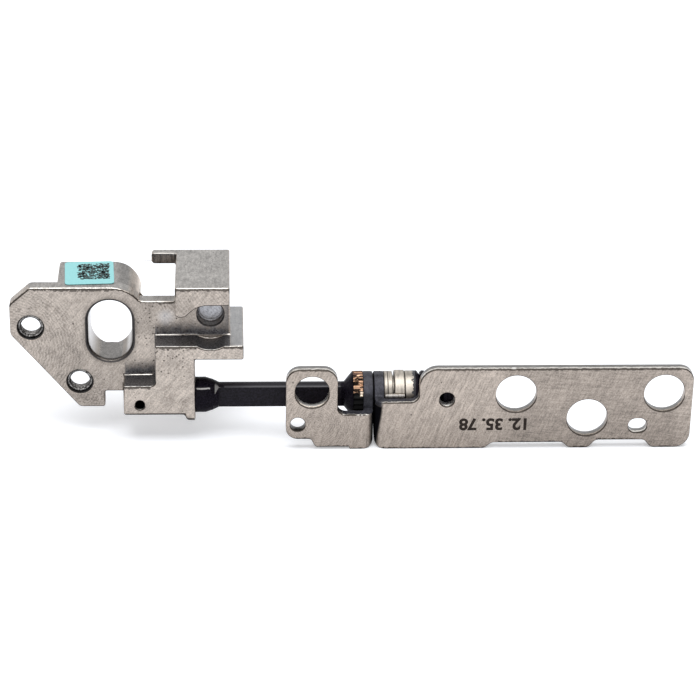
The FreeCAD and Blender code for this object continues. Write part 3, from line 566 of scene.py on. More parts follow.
def cast_steel(settings):
    """Plated casting with polishing arcs, painted highlight and painted shade on its edges, painted shade on its
    shelves and recesses, and speckle.
    """
    graph = Graph("cast_steel")
    factor, height = steel_grain(graph, -50, CAST_ARCS)
    speckle = graph.noise(5.5, shift=21.0, roughness=0.7)
    smear = graph.noise(1.1, shift=29.0, detail=4.0, roughness=0.65)
    factor = graph.times(factor, cast_tone(graph))
    # Level faces take the cooler colour, a painted reflection
    colour = graph.shade(graph.mix(graph.faces_up(), settings.cast_colour, settings.upward_reflection_colour), factor)

    # Painted highlight and painted shade along the edges, and the darker halo round the passage
    plate = graph.ramp(graph.y, 0.3, 0.2)
    holes = from_screw_holes(graph)
    passage = graph.slot_distance(PASSAGE_X, PASSAGE_MID, PASSAGE_W, PASSAGE_H)
    plain = graph.times(graph.ramp(holes, SCREW_HOLE_R + 0.25, SCREW_HOLE_R + 0.35), graph.ramp(passage, 0.5, 0.6))
    lit, shade_lines = edge_lines(graph)
    shade_lines = graph.either(shade_lines, graph.times(shade_lines_along(graph, CAST_TOP_EDGES, 0.38), 0.85))
    colour = graph.coats(
        colour,
        (graph.times(shade_lines, plain, 0.95), settings.dirt_and_shade_colour),
        (graph.times(graph.ramp(passage, 1.0, 0.3), plate, 0.35), settings.dirt_and_shade_colour),
        (graph.times(lit, plain), settings.highlight_and_burnish_colour),
    )

    # Painted shade on the shelves, the passage wall, the recesses and the screw holes, painted highlights on a
    # shelf's rear edge and the passage wall's sides, and the pocket floor
    # The shelves are darkened as painted shade, with pale speckle
    dark = shelf_shade(graph, smear)
    colour = graph.mix(dark, colour, graph.mix(graph.ramp(speckle, 0.3, 0.7), SHELF_SHADE_DARK, SHELF_SHADE_PALE))
    # A painted highlight along the rear edge of the upper shelf
    rear = graph.region(x=(LOWER_STEP, UPPER_RIGHT), y=(-0.3, 0.15), h=(ARM_TOP - 0.03, ARM_TOP + 0.08))
    colour = graph.mix(graph.times(rear, 0.45), colour, SHELF_REAR_HIGHLIGHT)
    # Painted shade on the passage wall, and painted highlights on its sides, picked by the way they face
    wall = graph.times(graph.ramp(passage, 0.05, 0.0), graph.ramp(graph.y, 0.4, 0.6))
    colour = graph.shade(colour, graph.ramp(wall, 0.0, 1.0, 1.0, 0.56))
    shine = graph.either(graph.ramp(graph.facing_x, 0.5, 0.95), graph.between(graph.facing_x, -0.9, -0.74, 0.08))
    colour = graph.mix(graph.times(wall, shine, 0.75), colour, PASSAGE_HIGHLIGHT)
    floor = graph.ramp(graph.distance(POCKET_X, POCKET_MID), POCKET_R, POCKET_R - 0.05)
    floor = graph.times(floor, graph.region(y=POCKET_FLOOR_Y))
    colour = graph.mix(floor, colour, graph.shade(POCKET_FLOOR, factor))
    # The passage chamfer, the rims and the screw hole walls all take painted shade
    marks = graph.either(passage_rim(graph, passage), recess_shade(graph, holes), screw_hole_walls(graph, holes))
    colour = graph.mix(marks, colour, settings.recess_shade_colour)

    # Grime, speckle, the painted bright reflection on the web, brown blooms and the painted bluish reflection on the
    # arm
    grubby = graph.either(
        graph.ramp(graph.distance(4.5, -0.2), 3.4, 1.2),
        graph.times(graph.region(x=(LOWER_STEP, UPPER_RIGHT), y=(-0.1, 0.1), h=(9.0, 12.8), soft=0.6), 0.7),
    )
    grubby = graph.times(grubby, graph.ramp(speckle, 0.48, 0.62), plate, 0.7)
    specks = graph.times(graph.region(x=(9.8, 18.0), h=(3.5, 13.0), soft=0.6), graph.pits(2.1, 0.34, 0.42), plate)
    spots = graph.either(graph.pits(0.9, 0.15, 0.16), graph.pits(2.3, 0.2, 0.09), specks, grubby)
    # The arm's top takes a bluish colour, a painted reflection
    arm = graph.ramp(graph.x, UPPER_RIGHT + 0.05, UPPER_RIGHT + 0.15)
    colour = graph.coats(
        colour,
        (graph.times(spots, 0.8), settings.dirt_and_shade_colour),
        (graph.times(graph.ramp(graph.distance(14.1, 10.5), 1.5, 0.3), plate, 0.3), COOL_REFLECTION),
        (graph.times(graph.ramp(smear, 0.52, 0.68), graph.faces_front(), 0.28), BROWN_BLOOM),
        (graph.times(arm, graph.faces_up(), 0.5), ARM_REFLECTION),
    )
    roughness = graph.plus(graph.ramp(height, 1.3, 2.3, 0.3, 0.48), graph.times(dark, 0.15))
    return graph.finish(colour, roughness, 1.0, graph.bump(height, 0.02))


def slate_paint(graph):
    """The colour of the slate grey paint on the ears, lighter where it faces up and to the front: a painted
    highlight.
    """
    fine = graph.noise(6.0, shift=41.0)
    smear = graph.noise(1.3, (1, 1, 2), shift=43.0)
    edge = graph.times(graph.ramp(graph.facing_z, 0.3, 0.6), graph.ramp(graph.facing_y, -0.15, -0.4), 0.8)
    tone = graph.plus(graph.ramp(fine, 0.3, 0.7, 0.6, 1.3), graph.ramp(smear, 0.35, 0.7, -0.35, 0.5), edge)
    return graph.shade(SLATE, tone)


def cut_edge(graph, settings, colour):
    """The lines along a cut edge that faces up: painted shade at the front, the burnished band behind it painted
    bright as its sheen, then grey.
    """
    ragged = graph.plus(graph.y, graph.swing(graph.noise(1.6, shift=31.0), 0.09))
    up = graph.ramp(graph.facing_z, 0.3, 0.5)
    grey = graph.shade(CUT_GREY, graph.ramp(graph.noise(4.0, (4, 1, 1), shift=33.0), 0.3, 0.7, 0.8, 1.25))
    outside = 1.0
    for x, h, radius in (*LID_HOLES, SHORT_PILOT, LONG_PILOT):
        outside = graph.times(outside, graph.ramp(graph.distance(x, h), radius + 0.2, radius + 0.3))
    shine = graph.times(up, outside, graph.between(ragged, -5.3, -4.98, 0.05))
    front = graph.times(graph.ramp(graph.facing_z, 0.03, 0.12), graph.ramp(ragged, -5.24, -5.3), 0.92)
    colour = graph.coats(
        colour,
        (graph.times(up, graph.ramp(ragged, -5.02, -4.94)), grey),
        (shine, settings.highlight_and_burnish_colour),
        (front, settings.dirt_and_shade_colour),
    )
    # Painted light and shade on the walls of some holes: darker in the short pilot hole, lighter in the long pilot
    # and the large hole
    for (x, h, radius), share in ((SHORT_PILOT, 0.3), (LONG_PILOT, 3.2), (LID_HOLES[0], 2.4)):
        inside = graph.ramp(graph.distance(x, h), radius + 0.08, radius + 0.02)
        wall = graph.times(inside, graph.ramp(graph.y, -5.4, -5.3))
        colour = graph.shade(colour, graph.ramp(wall, 0.0, 1.0, 1.0, share))
    # A burr on the long bracket's top edge, painted white as its highlight
    burr = graph.region(x=(57.7, 58.2), y=(-5.35, -4.95), h=(5.3, 6.0), soft=0.12)
    return graph.mix(burr, colour, BURR_HIGHLIGHT)


def sheet_material(settings, name, tone_maker, paint_maker):
    """Sheet steel with a cut edge in three lines, painted shade along and under its edges, black painted shade at the
    bends and paint where the maker says.
    """
    graph = Graph(name)
    factor, height = steel_grain(graph, -68, SHEET_ARCS, 0.45)
    grain = graph.noise(5.0, (9, 1, 1), 4.0, 51.0)
    slanting = graph.noise(5.6, (14, 1, 1), -70, 53.0, 2.0, 0.5)
    right_part = graph.ramp(graph.x, 50.0, 58.0)
    left_part = graph.times(graph.other(right_part), graph.ramp(graph.x, 42.0, 46.0))
    factor = graph.plus(
        factor,
        graph.times(right_part, graph.swing(grain, 0.16)),
        graph.times(left_part, graph.swing(slanting, 0.13, 0.35, 0.65)),
    )
    tone = graph.times(factor, graph.ramp(graph.h, -5.6, 3.0, 0.84, 1.04), tone_maker(graph))
    # Painted shade under the edges that face down and along the level edges
    under = graph.times(graph.ramp(graph.facing_z, -0.05, -0.3), graph.ramp(graph.facing_y, -0.1, -0.3), 0.9)
    top_lines = graph.times(shade_lines_along(graph, SHEET_TOP_EDGES, 0.2), 0.7)
    lines = graph.either(shade_lines_along(graph, SHEET_LOW_EDGES, 0.2), top_lines)
    colour = graph.coats(
        graph.shade(settings.sheet_colour, tone), (under, settings.dirt_and_shade_colour), (lines, settings.dirt_and_shade_colour)
    )
    spots = graph.either(graph.pits(0.8, 0.12, 0.10), graph.pits(2.1, 0.14, 0.04))
    border, paint, black = paint_maker(graph)
    colour = graph.coats(
        cut_edge(graph, settings, colour),
        (graph.times(spots, 0.7), settings.dirt_and_shade_colour),
        (border, settings.highlight_and_burnish_colour),
        (paint, slate_paint(graph)),
        (black, BEND_SHADE),
    )
    roughness = graph.plus(graph.ramp(height, 1.3, 2.3, 0.32, 0.5), graph.times(paint, 0.1))
    # The black painted shade at the bends is made dull and without shine
    metallic = graph.times(graph.other(paint), graph.other(black))
    specular = graph.times(graph.ramp(paint, 0.0, 1.0, 0.3, 0.16), graph.other(black))
    return graph.finish(colour, roughness, metallic, graph.bump(height, 0.012), specular)


def painted_notch(graph, x, h, front, soft=0.06):
    """The painted floor of a notch and the silver border in front of it."""
    uneven = graph.plus(graph.y, graph.swing(graph.noise(1.8, shift=61.0), 0.14))
    floor = graph.times(graph.region(x=x, h=h), graph.ramp(graph.facing_z, 0.25, 0.5))
    paint = graph.times(floor, graph.ramp(uneven, front - soft, front + soft))
    border = graph.times(floor, graph.between(uneven, front - 0.14, front, soft))
    return border, paint


def short_sheet(settings):
    """The short bracket's sheet, with its painted ear and black painted shade on the right side of its bend."""

    def tone(graph):
        return graph.ramp(graph.distance(29.0, 1.0), 4.0, 1.0, 0.95, 1.0)

    def paint(graph):
        floor = (SHORT_NOTCH - 0.5, SHORT_NOTCH + 0.1)
        border, painted = painted_notch(graph, (36.4, 41.0), floor, -5.2)
        ear = graph.times(graph.ramp(graph.y, -4.3, -4.15), graph.ramp(graph.x, SHORT_EAR - 0.25, SHORT_EAR - 0.1))
        # Black painted shade on the side of the bend that faces right
        black = graph.times(
            graph.ramp(graph.x, SHORT_EAR + 0.6, SHORT_EAR + 0.9), graph.ramp(graph.facing_x, 0.55, 0.92)
        )
        return border, graph.either(painted, ear), black

    return sheet_material(settings, "short_sheet", tone, paint)


def long_sheet(settings):
    """The long bracket's sheet, with its painted ear and black painted shade in the gap left of its bend."""

    def tone(graph):
        right = graph.ramp(graph.x, 55.0, 59.0, 1.0, 0.8)
        ends = graph.ramp(graph.x, 78.6, 79.6, 0.0, 0.14)
        return graph.plus(right, ends, graph.ramp(graph.distance(53.5, 1.6), 4.0, 1.0, 0.0, 0.02))

    def paint(graph):
        floor = (LONG_NOTCH - 0.5, LONG_NOTCH + 0.9)
        border, painted = painted_notch(graph, (40.0, 46.3), floor, -5.12)
        ear = graph.times(graph.ramp(graph.y, -4.3, -4.15), graph.ramp(graph.x, LONG_EAR_END + 0.1, LONG_EAR_END))
        ear = graph.either(ear, graph.times(graph.ramp(graph.h, -0.1, 0.5), graph.ramp(graph.x, 41.6, 41.2)))
        # Black painted shade in the gap left of the bend and on the side that faces it
        gap = graph.math("SUBTRACT", graph.x, graph.ramp(graph.h, -5.6, 0.5, 40.75, 41.35))
        black = graph.times(graph.ramp(gap, 0.25, -0.1), graph.ramp(graph.h, 0.6, 0.2))
        side = graph.times(graph.ramp(graph.facing_x, -0.9, -0.98), graph.ramp(graph.x, 40.7, 40.6))
        black = graph.either(black, side)
        return border, graph.either(painted, ear), black

    return sheet_material(settings, "long_sheet", tone, paint)


def black_steel(settings):
    """Black oxide, oily on the collar and the friction pack, with painted glints along its edges, a painted sheen on
    the bar's round top and painted shade on the pin's end.
    """
    graph = Graph("black_steel")
    fine = graph.noise(6.0)
    smear = graph.noise(0.9, (6, 1, 1), detail=2.0, roughness=0.5)
    collar = graph.ramp(graph.x, LOWER_RIGHT + 3.1, LOWER_RIGHT + 2.9)
    oily = graph.either(collar, graph.ramp(graph.x, 36.2, 36.4))
    # Painted glints on the collar and a painted sheen on the bar's round top
    line = graph.times(graph.region(x=(17.9, 19.6)), graph.between(graph.facing_z, 0.68, 0.73, 0.03), 0.8)
    facet = graph.times(graph.region(x=(20.2, 20.9)), graph.between(graph.facing_z, 0.64, 0.84, 0.05), 0.3)
    bar = graph.region(x=(21.4, 36.2), soft=0.1)
    rounded_sheen = graph.times(bar, graph.between(graph.facing_z, 0.72, 0.93, 0.06), 0.6)
    pin = graph.times(graph.ramp(graph.distance(PIN_X, PIN_MID), 0.7, 0.6), graph.ramp(graph.y, -2.2, -2.4))
    colour = graph.coats(
        graph.shade(settings.black_colour, graph.ramp(fine, 0.3, 0.7, 0.2, 2.2)),
        (graph.times(graph.pits(1.3, 0.12, 0.08), 0.6), WORN_SPOT),
        (graph.times(graph.either(line, facet), graph.ramp(graph.facing_y, -0.1, -0.3)), SHAFT_GLINT),
        (rounded_sheen, SHAFT_SHEEN),
    )
    # The pin's end in its hole is painted black and made dull, as painted shade
    colour = graph.shade(colour, graph.other(pin))
    roughness = graph.plus(graph.ramp(smear, 0.3, 0.7, 0.34, 0.46), graph.times(oily, -0.16))
    specular = graph.times(graph.ramp(oily, 0.0, 1.0, 0.14, 0.03), graph.other(pin))
    return graph.finish(colour, roughness, 0.0, graph.bump(fine, 0.008), specular)


def bright_steel(settings):
    """Bright washers and drum, with dark joints, grease low down, painted shade on their lower part and the drum's
    chipped black end.
    """
    graph = Graph("bright_steel")
    rubbed = graph.noise(3.0, (1, 6, 6))
    smear = graph.noise(0.8)
    colour = graph.mix(graph.ramp(smear, 0.45, 0.75, 0.0, 0.35), settings.bright_colour, settings.dirt_and_shade_colour)
    colour = graph.shade(colour, graph.ramp(rubbed, 0.3, 0.7, 0.72, 1.1))
    joints = 0.0
    for x in PACK_JOINTS:
        joints = graph.either(joints, graph.ramp(graph.apart(graph.x, x), 0.09, 0.03))
    behind_tab = graph.ramp(graph.y, -4.2, -4.0)
    grease = graph.times(graph.ramp(graph.h, 1.8, 0.9), graph.ramp(smear, 0.3, 0.55), behind_tab, 0.85)
    colour = graph.coats(colour, (graph.times(joints, 0.8), settings.dirt_and_shade_colour), (grease, settings.dirt_and_shade_colour))
    # Painted shade on the lower part of the washers and drum, leaving out the tab
    low = graph.times(graph.ramp(graph.h, 2.6, 0.6), behind_tab)
    colour = graph.shade(colour, graph.ramp(low, 0.0, 1.0, 1.0, 0.62))
    worn = graph.ramp(rubbed, 0.35, 0.6, 0.3, 0.8)
    tab = graph.times(graph.other(behind_tab), graph.ramp(graph.h, 2.0, 1.8), worn)
    ragged = graph.plus(graph.x, graph.swing(graph.noise(1.8, shift=3.0), 0.25))
    black = graph.either(graph.ramp(ragged, 45.35, 45.45), graph.ramp(graph.x, 45.7, 45.75))
    colour = graph.coats(colour, (tab, settings.highlight_and_burnish_colour), (black, DRUM_BLACK))
    roughness = graph.ramp(rubbed, 0.3, 0.7, 0.34, 0.5)
    return graph.finish(colour, roughness, graph.other(black), graph.bump(rubbed, 0.006), 0.3)


def bronze(settings):
    """Ridged bronze of the friction ring, black with grease below, and black as painted shade towards the ear,
    between the ears.
    """
    graph = Graph("bronze")
    ridges = graph.noise(2.6, (3.2, 1, 1), shift=5.0, detail=2.0)
    level = graph.plus(graph.h, graph.swing(graph.noise(1.2), 0.4))
    # Black low down is grease; black towards the ear is painted shade between the ears
    grease = graph.either(graph.ramp(level, 1.75, 1.35), graph.ramp(graph.x, SHORT_EAR + 0.6, SHORT_EAR + 0.8))
    glint = graph.region(x=(38.7, 39.05), h=(0.95, 1.6), soft=0.08)
    glint = graph.times(glint, graph.ramp(graph.facing_y, -0.4, -0.6))
    colour = graph.coats(
        settings.bronze_colour,
        (graph.ramp(ridges, 0.47, 0.54), RIDGE_DARK),
        (graph.ramp(graph.h, 2.7, 2.82, 0.0, 0.85), RING_SHADE),
        (grease, RING_GREASE_AND_SHADE),
        (glint, RING_GLINT),
    )
    metallic = graph.other(graph.times(grease, graph.other(glint)))
    return graph.finish(colour, graph.ramp(ridges, 0.3, 0.7, 0.22, 0.45), metallic, graph.bump(ridges, 0.03), 0.04)


def label_print(settings):
    """Satin paper, with painted shade on its sides round the rim."""
    graph = Graph("label_print")
    tone = graph.ramp(graph.noise(6.0, detail=2.0, roughness=0.5), 0.2, 0.8, 0.96, 1.03)
    # Painted shade on the label's sides, picked by the way they face
    tone = graph.times(tone, graph.ramp(graph.facing_z, 0.8, 0.5, 1.0, 0.45))
    return graph.finish(graph.shade(settings.label_colour, tone), 0.5, 0.0, None, 0.3)


def two_tone(name, scale, low, high, first, second, roughness, metallic=0.0):
    """A plain finish that wavers between two colours."""
    graph = Graph(name)
    share = graph.ramp(graph.noise(scale), low, high)
    return graph.finish(graph.mix(share, first, second), roughness, metallic, None, 0.25)


def print_ink(settings):
    return two_tone("print_ink", 5.0, 0.3, 0.7, (0.008, 0.014, 0.014), (0.045, 0.07, 0.07), 0.5)


def laser_mark(settings):
    return two_tone("laser_mark", 6.0, 0.3, 0.7, (0.008, 0.005, 0.004), (0.028, 0.019, 0.014), 0.8)


def thread_steel(settings):
    return two_tone("thread_steel", 4.0, 0.35, 0.65, (0.04, 0.038, 0.036), (0.34, 0.33, 0.32), 0.34, 1.0)


# Settings
def colour_property(name, description, value):
    return bpy.props.FloatVectorProperty(
        name=name, description=description, subtype="COLOR", size=3, min=0.0, max=1.0, default=value
    )


def number_property(name, description, value, **kind):
    return bpy.props.FloatProperty(name=name, description=description, default=value, **kind)


class HingeFinishes(bpy.types.PropertyGroup):
    cast_colour: colour_property("Cast steel", "Plated casting of the base bracket", (0.42, 0.37, 0.325))
    # The cooler tone of the level faces is a painted reflection
    upward_reflection_colour: colour_property("Cast steel, level faces", "Cooler tone of the level faces", (0.37, 0.355, 0.34))
    sheet_colour: colour_property("Sheet steel", "Plated sheet of the lid brackets", (0.42, 0.363, 0.315))
    # This colour also carries painted highlights on the edges that face up and the sheen of the cut edges' burnished
    # band
    highlight_and_burnish_colour: colour_property("Worn edges", "Burnished steel along the edges", (0.72, 0.69, 0.65))
    bright_colour: colour_property("Bright steel", "Friction washers and cam", (0.45, 0.41, 0.36))
    black_colour: colour_property("Black steel", "Black oxide of the shaft", (0.006, 0.005, 0.008))
    bronze_colour: colour_property("Bronze", "Serrated friction ring", (0.50, 0.30, 0.19))
    # This colour also carries painted shade along and under the edges and at the front of the cut edges
    dirt_and_shade_colour: colour_property("Dirt", "Old grease in pits and corners", (0.045, 0.038, 0.033))
    # Colour of the painted shade in holes and recesses and round the passage
    recess_shade_colour: colour_property("Soot", "Dark unpolished shelves and recesses", (0.028, 0.028, 0.031))
    label_colour: colour_property("Label", "Paper of the small label", (0.262, 0.565, 0.58))
    cast_edge: number_property(
        "Cast edges", "Rounding of the casting's edges, in millimetres", 0.24, min=0.02, max=0.3
    )
    sheet_edge: number_property(
        "Sheet edges", "Rounding of the sheet's edges, in millimetres", 0.14, min=0.02, max=0.3
    )
    thread_pitch: number_property("Thread pitch", "Pitch of the screw threads, in millimetres", 0.5, min=0.2, max=1.0)
    date_mark: bpy.props.StringProperty(
        name="Date mark", description="Plain numbers marked on the long bracket", default="12. 35. 78"
    )


class HingeStage(bpy.types.PropertyGroup):
    camera_azimuth: number_property("Camera azimuth", "Angle round the hinge", math.radians(-3.03), subtype="ANGLE")
    camera_elevation: number_property(
        "Camera elevation", "Angle above the floor", math.radians(26.42), subtype="ANGLE"
    )
    camera_roll: number_property("Camera roll", "Turn about the line of sight", math.radians(1.11), subtype="ANGLE")
    camera_distance: number_property("Camera distance", "From the camera to its target", 0.32, subtype="DISTANCE")
    camera_lens: number_property("Lens", "Focal length on a 36 mm sensor, in millimetres", 131.45)
    overhead_power: number_property("Overhead light", "Power of the overhead soft box, in watts", 1.6)
    fill_power: number_property("Fill light", "Power of the front fill, in watts", 0.5)
    room_level: number_property("Room level", "Strength of the white surroundings in the light", 0.6)


MATERIALS = {}


def material(maker):
    """Each finish is made once and shared."""
    if maker.__name__ not in MATERIALS:
        MATERIALS[maker.__name__] = maker(bpy.context.scene.hinge_finishes)
    return MATERIALS[maker.__name__]


# Repeated detail, each made by a node group with named inputs
class Group:
    """Short ways to build a geometry node group and to turn its result into a plain mesh."""

    def __init__(self, name, inputs):
        self.tree = bpy.data.node_groups.new(name, "GeometryNodeTree")
        kinds = {"Float": "NodeSocketFloat", "Int": "NodeSocketInt", "Vector": "NodeSocketVector"}
        self.values = {}
        for label, (kind, value) in inputs.items():
            socket = self.tree.interface.new_socket(name=label, in_out="INPUT", socket_type=kinds[kind])
            self.values[socket.identifier] = value
        self.tree.interface.new_socket(name="Geometry", in_out="OUTPUT", socket_type="NodeSocketGeometry")
        self.inputs = self.tree.nodes.new("NodeGroupInput").outputs

    def add(self, kind, links=None, **settings):
        node = self.tree.nodes.new(kind)
        for name, value in settings.items():
            setattr(node, name, value)
        for name, value in (links or {}).items():
            if isinstance(value, bpy.types.NodeSocket):
                self.tree.links.new(value, node.inputs[name])
            else:
                node.inputs[name].default_value = value
        return node.outputs[0]

    def finish(self, geometry, name, finish, body, slot):
        """Moves the geometry to its Place and Turn and makes it a piece of its body."""
        place = {"Translation": self.inputs["Place"], "Rotation": self.inputs["Turn"]}
        geometry = self.add("GeometryNodeTransform", {"Geometry": geometry, **place})
        geometry = self.add("GeometryNodeRealizeInstances", {"Geometry": geometry})
        geometry = self.add("GeometryNodeSetMaterial", {"Geometry": geometry, "Material": finish})
        output = self.tree.nodes.new("NodeGroupOutput")
        self.tree.links.new(geometry, output.inputs["Geometry"])
        holder = bpy.data.objects.new(name, bpy.data.meshes.new(name + "_seed"))
        bpy.context.scene.collection.objects.link(holder)
        modifier = holder.modifiers.new("detail", "NODES")
        modifier.node_group = self.tree
        for identifier, value in self.values.items():
            modifier[identifier] = value
        evaluated = holder.evaluated_get(bpy.context.evaluated_depsgraph_get())
        holder.data = bpy.data.meshes.new_from_object(evaluated)
        holder.modifiers.clear()
        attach(holder, body)


def add_thread(name, centre, start, end, along, radius, height, pitch, finish, slot):
    """A ridge that winds round an axis along X or Y, from start to end."""
    group = Group(
        name + "_ridge",
        {
            "Turns": ("Float", (end - start) / pitch),
            "Radius": ("Float", radius * MM),
            "Length": ("Float", (end - start) * MM),
            "Ridge Height": ("Float", height * MM),
            "Turn": ("Vector", (0, math.radians(90), 0) if along == "X" else (math.radians(-90), 0, 0)),
            "Place": ("Vector", [value * MM for value in centre]),
        },
    )
    inputs = group.inputs
    path = group.add(
        "GeometryNodeCurveSpiral",
        {
            "Resolution": 40,
            "Rotations": inputs["Turns"],
            "Start Radius": inputs["Radius"],
            "End Radius": inputs["Radius"],
            "Height": inputs["Length"],
        },
    )
    profile = group.add("GeometryNodeCurvePrimitiveCircle", {"Resolution": 4, "Radius": inputs["Ridge Height"]})
    ridge = group.add("GeometryNodeCurveToMesh", {"Curve": path, "Profile Curve": profile, "Fill Caps": True})
    group.finish(ridge, name, finish, "base_side", slot)


# Pieces
class HINGE_OT_base_bracket(bpy.types.Operator):
    """Finish the cast base bracket"""

    bl_idname = "hinge.base_bracket"
    bl_label = "Base Bracket"

    def execute(self, context):
        edge = context.scene.hinge_finishes.cast_edge
        dress("cast_base_bracket", "base_side", material(cast_steel), edge, segments=3)
        return {"FINISHED"}


class HINGE_OT_threads(bpy.types.Operator):
    """Cut the threads of the base screw holes and of the shaft's end"""

    bl_idname = "hinge.threads"
    bl_label = "Threads"

    def execute(self, context):
        pitch = context.scene.hinge_finishes.thread_pitch
        radius = SCREW_MINOR_R + SCREW_RIDGE
        start, end = SCREW_THREAD
        finish = material(thread_steel)
        for index, (x, z) in enumerate(SCREW_HOLES):
            name = "screw_hole_thread_" + str(index + 1)
            add_thread(name, (x, start, z), start, end, "Y", radius, SCREW_RIDGE, pitch, finish, "cast_steel")
        name, centre = "shaft_end_thread", (TAIL_START, AXIS_Y, -AXIS_BELOW)
        pitch /= TAIL_FINER
        finish = material(black_steel)
        add_thread(name, centre, TAIL_START, TAIL_END, "X", TAIL_R, TAIL_RIDGE, pitch, finish, "black_steel")
        return {"FINISHED"}


class HINGE_OT_label(bpy.types.Operator):
    """Print the small label on the ledge, with loose speckle"""

    bl_idname = "hinge.label"
    bl_label = "Label"

    def execute(self, context):
        dress("label_sticker", "base_side", material(label_print), LABEL_EDGE, segments=1)
        angle = math.radians(LABEL_TURN)
        place = Vector(LABEL_CENTRE) + Matrix.Rotation(angle, 2) @ Vector(SPECKLE_ASIDE)
        group = Group(
            "label_speckle",
            {
                "Width": ("Float", 3.75 * MM),
                "Length": ("Float", 4.5 * MM),
                "Spacing": ("Float", 0.2 * MM),
                "Density": ("Float", 4.0e7),
                "Mark Size": ("Float", 0.32 * MM),
                "Thickness": ("Float", 0.006 * MM),
                "Place": ("Vector", (place.x * MM, place.y * MM, LABEL_TOP * MM)),
                "Turn": ("Vector", (0, 0, angle)),
                "Seed": ("Int", 5),
            },
        )
        inputs = group.inputs
        area = group.add(
            "GeometryNodeMeshGrid",
            {"Size X": inputs["Width"], "Size Y": inputs["Length"], "Vertices X": 2, "Vertices Y": 2},
        )
        points = group.add(
            "GeometryNodeDistributePointsOnFaces",
            {
                "Mesh": area,
                "Distance Min": inputs["Spacing"],
                "Density Max": inputs["Density"],
                "Seed": inputs["Seed"],
            },
            distribute_method="POISSON",
        )
        size = group.add(
            "ShaderNodeCombineXYZ", {"X": inputs["Mark Size"], "Y": inputs["Mark Size"], "Z": inputs["Thickness"]}
        )
        mark = group.add("GeometryNodeMeshCube", {"Size": size})
        scale = group.add(
            "FunctionNodeRandomValue", {0: (0.45, 0.45, 1.0), 1: (1.7, 1.3, 1.0), "Seed": 3}, data_type="FLOAT_VECTOR"
        )
        turned = group.add(
            "FunctionNodeRandomValue", {0: (0, 0, -0.5), 1: (0, 0, 0.5), "Seed": 4}, data_type="FLOAT_VECTOR"
        )
        marks = group.add(
            "GeometryNodeInstanceOnPoints", {"Points": points, "Instance": mark, "Rotation": turned, "Scale": scale}
        )
        group.finish(marks, "label_speckle", material(print_ink), "base_side", "label")
        return {"FINISHED"}


class HINGE_OT_shaft(bpy.types.Operator):
    """Blacken the shaft and its pin"""

    bl_idname = "hinge.shaft"
    bl_label = "Shaft"

    def execute(self, context):
        for node in ("hinge_shaft", "shaft_lock_pin"):
            dress(node, "base_side", material(black_steel), SHAFT_EDGE, least_angle=TURNED_ANGLE)
        return {"FINISHED"}


class HINGE_OT_friction_pack(bpy.types.Operator):
    """Finish the washers, ring, cam and springs of the friction pack"""

    bl_idname = "hinge.friction_pack"
    bl_label = "Friction Pack"

    def execute(self, context):
        finishes = {"bright_steel": bright_steel, "black_steel": black_steel, "bronze": bronze}
        for part in frame["record"]["subparts"]:
            node, slot = part["node"], part["material_slot"]
            if node in ("hinge_shaft", "shaft_lock_pin") or slot not in finishes:
                continue
            body = "long_lid_side" if node == "tab_washer" else "base_side"
            dress(node, body, material(finishes[slot]), PACK_EDGE, least_angle=TURNED_ANGLE)
        return {"FINISHED"}


class HINGE_OT_lid_brackets(bpy.types.Operator):
    """Finish the two bent brackets of the lid"""

    bl_idname = "hinge.lid_brackets"
    bl_label = "Lid Brackets"

    def execute(self, context):
        edge = context.scene.hinge_finishes.sheet_edge
        for node, body, finish in (
            ("short_bracket", "short_lid_side", short_sheet),
            ("long_bracket", "long_lid_side", long_sheet),
        ):
            dress(node, body, material(finish), edge, sink=SHEET_SINK)
        return {"FINISHED"}


class HINGE_OT_date_mark(bpy.types.Operator):
    """Mark plain numbers, upside down, on the long bracket"""

    bl_idname = "hinge.date_mark"
    bl_label = "Date Mark"

    def execute(self, context):
        text = bpy.data.curves.new("date_mark", "FONT")
        text.body = context.scene.hinge_finishes.date_mark
        text.size = DATE_SIZE * MM
        text.offset = DATE_WEIGHT * MM
        text.extrude = DATE_THICKNESS * MM
        text.align_x = "CENTER"
        text.align_y = "CENTER"
        holder = bpy.data.objects.new("date_mark_text", text)
        context.scene.collection.objects.link(holder)
        data = bpy.data.meshes.new_from_object(holder.evaluated_get(context.evaluated_depsgraph_get()))
        bpy.data.objects.remove(holder)
        upside_down = Matrix(((-1, 0, 0), (0, 0, -1), (0, -1, 0))).to_4x4()
        place = Vector((DATE_CENTRE[0], LID_FRONT + DATE_SINK, DATE_CENTRE[1] - AXIS_BELOW)) * MM
        data.transform(Matrix.Translation(place) @ upside_down)
        place_mesh("date_mark", data, [material(laser_mark)], "long_lid_side")
        return {"FINISHED"}


# Stage
def add_light(name, power, size, place):
    """A soft box aimed at the hinge."""
    data = bpy.data.lights.new(name, "AREA")
    data.energy = power
    data.shape = "RECTANGLE"
    data.size, data.size_y = size
    light = bpy.data.objects.new(name, data)
    light.location = place
    light.rotation_euler = (Vector(LIT_POINT) - Vector(place)).to_track_quat("-Z", "Y").to_euler()
    bpy.context.scene.collection.objects.link(light)


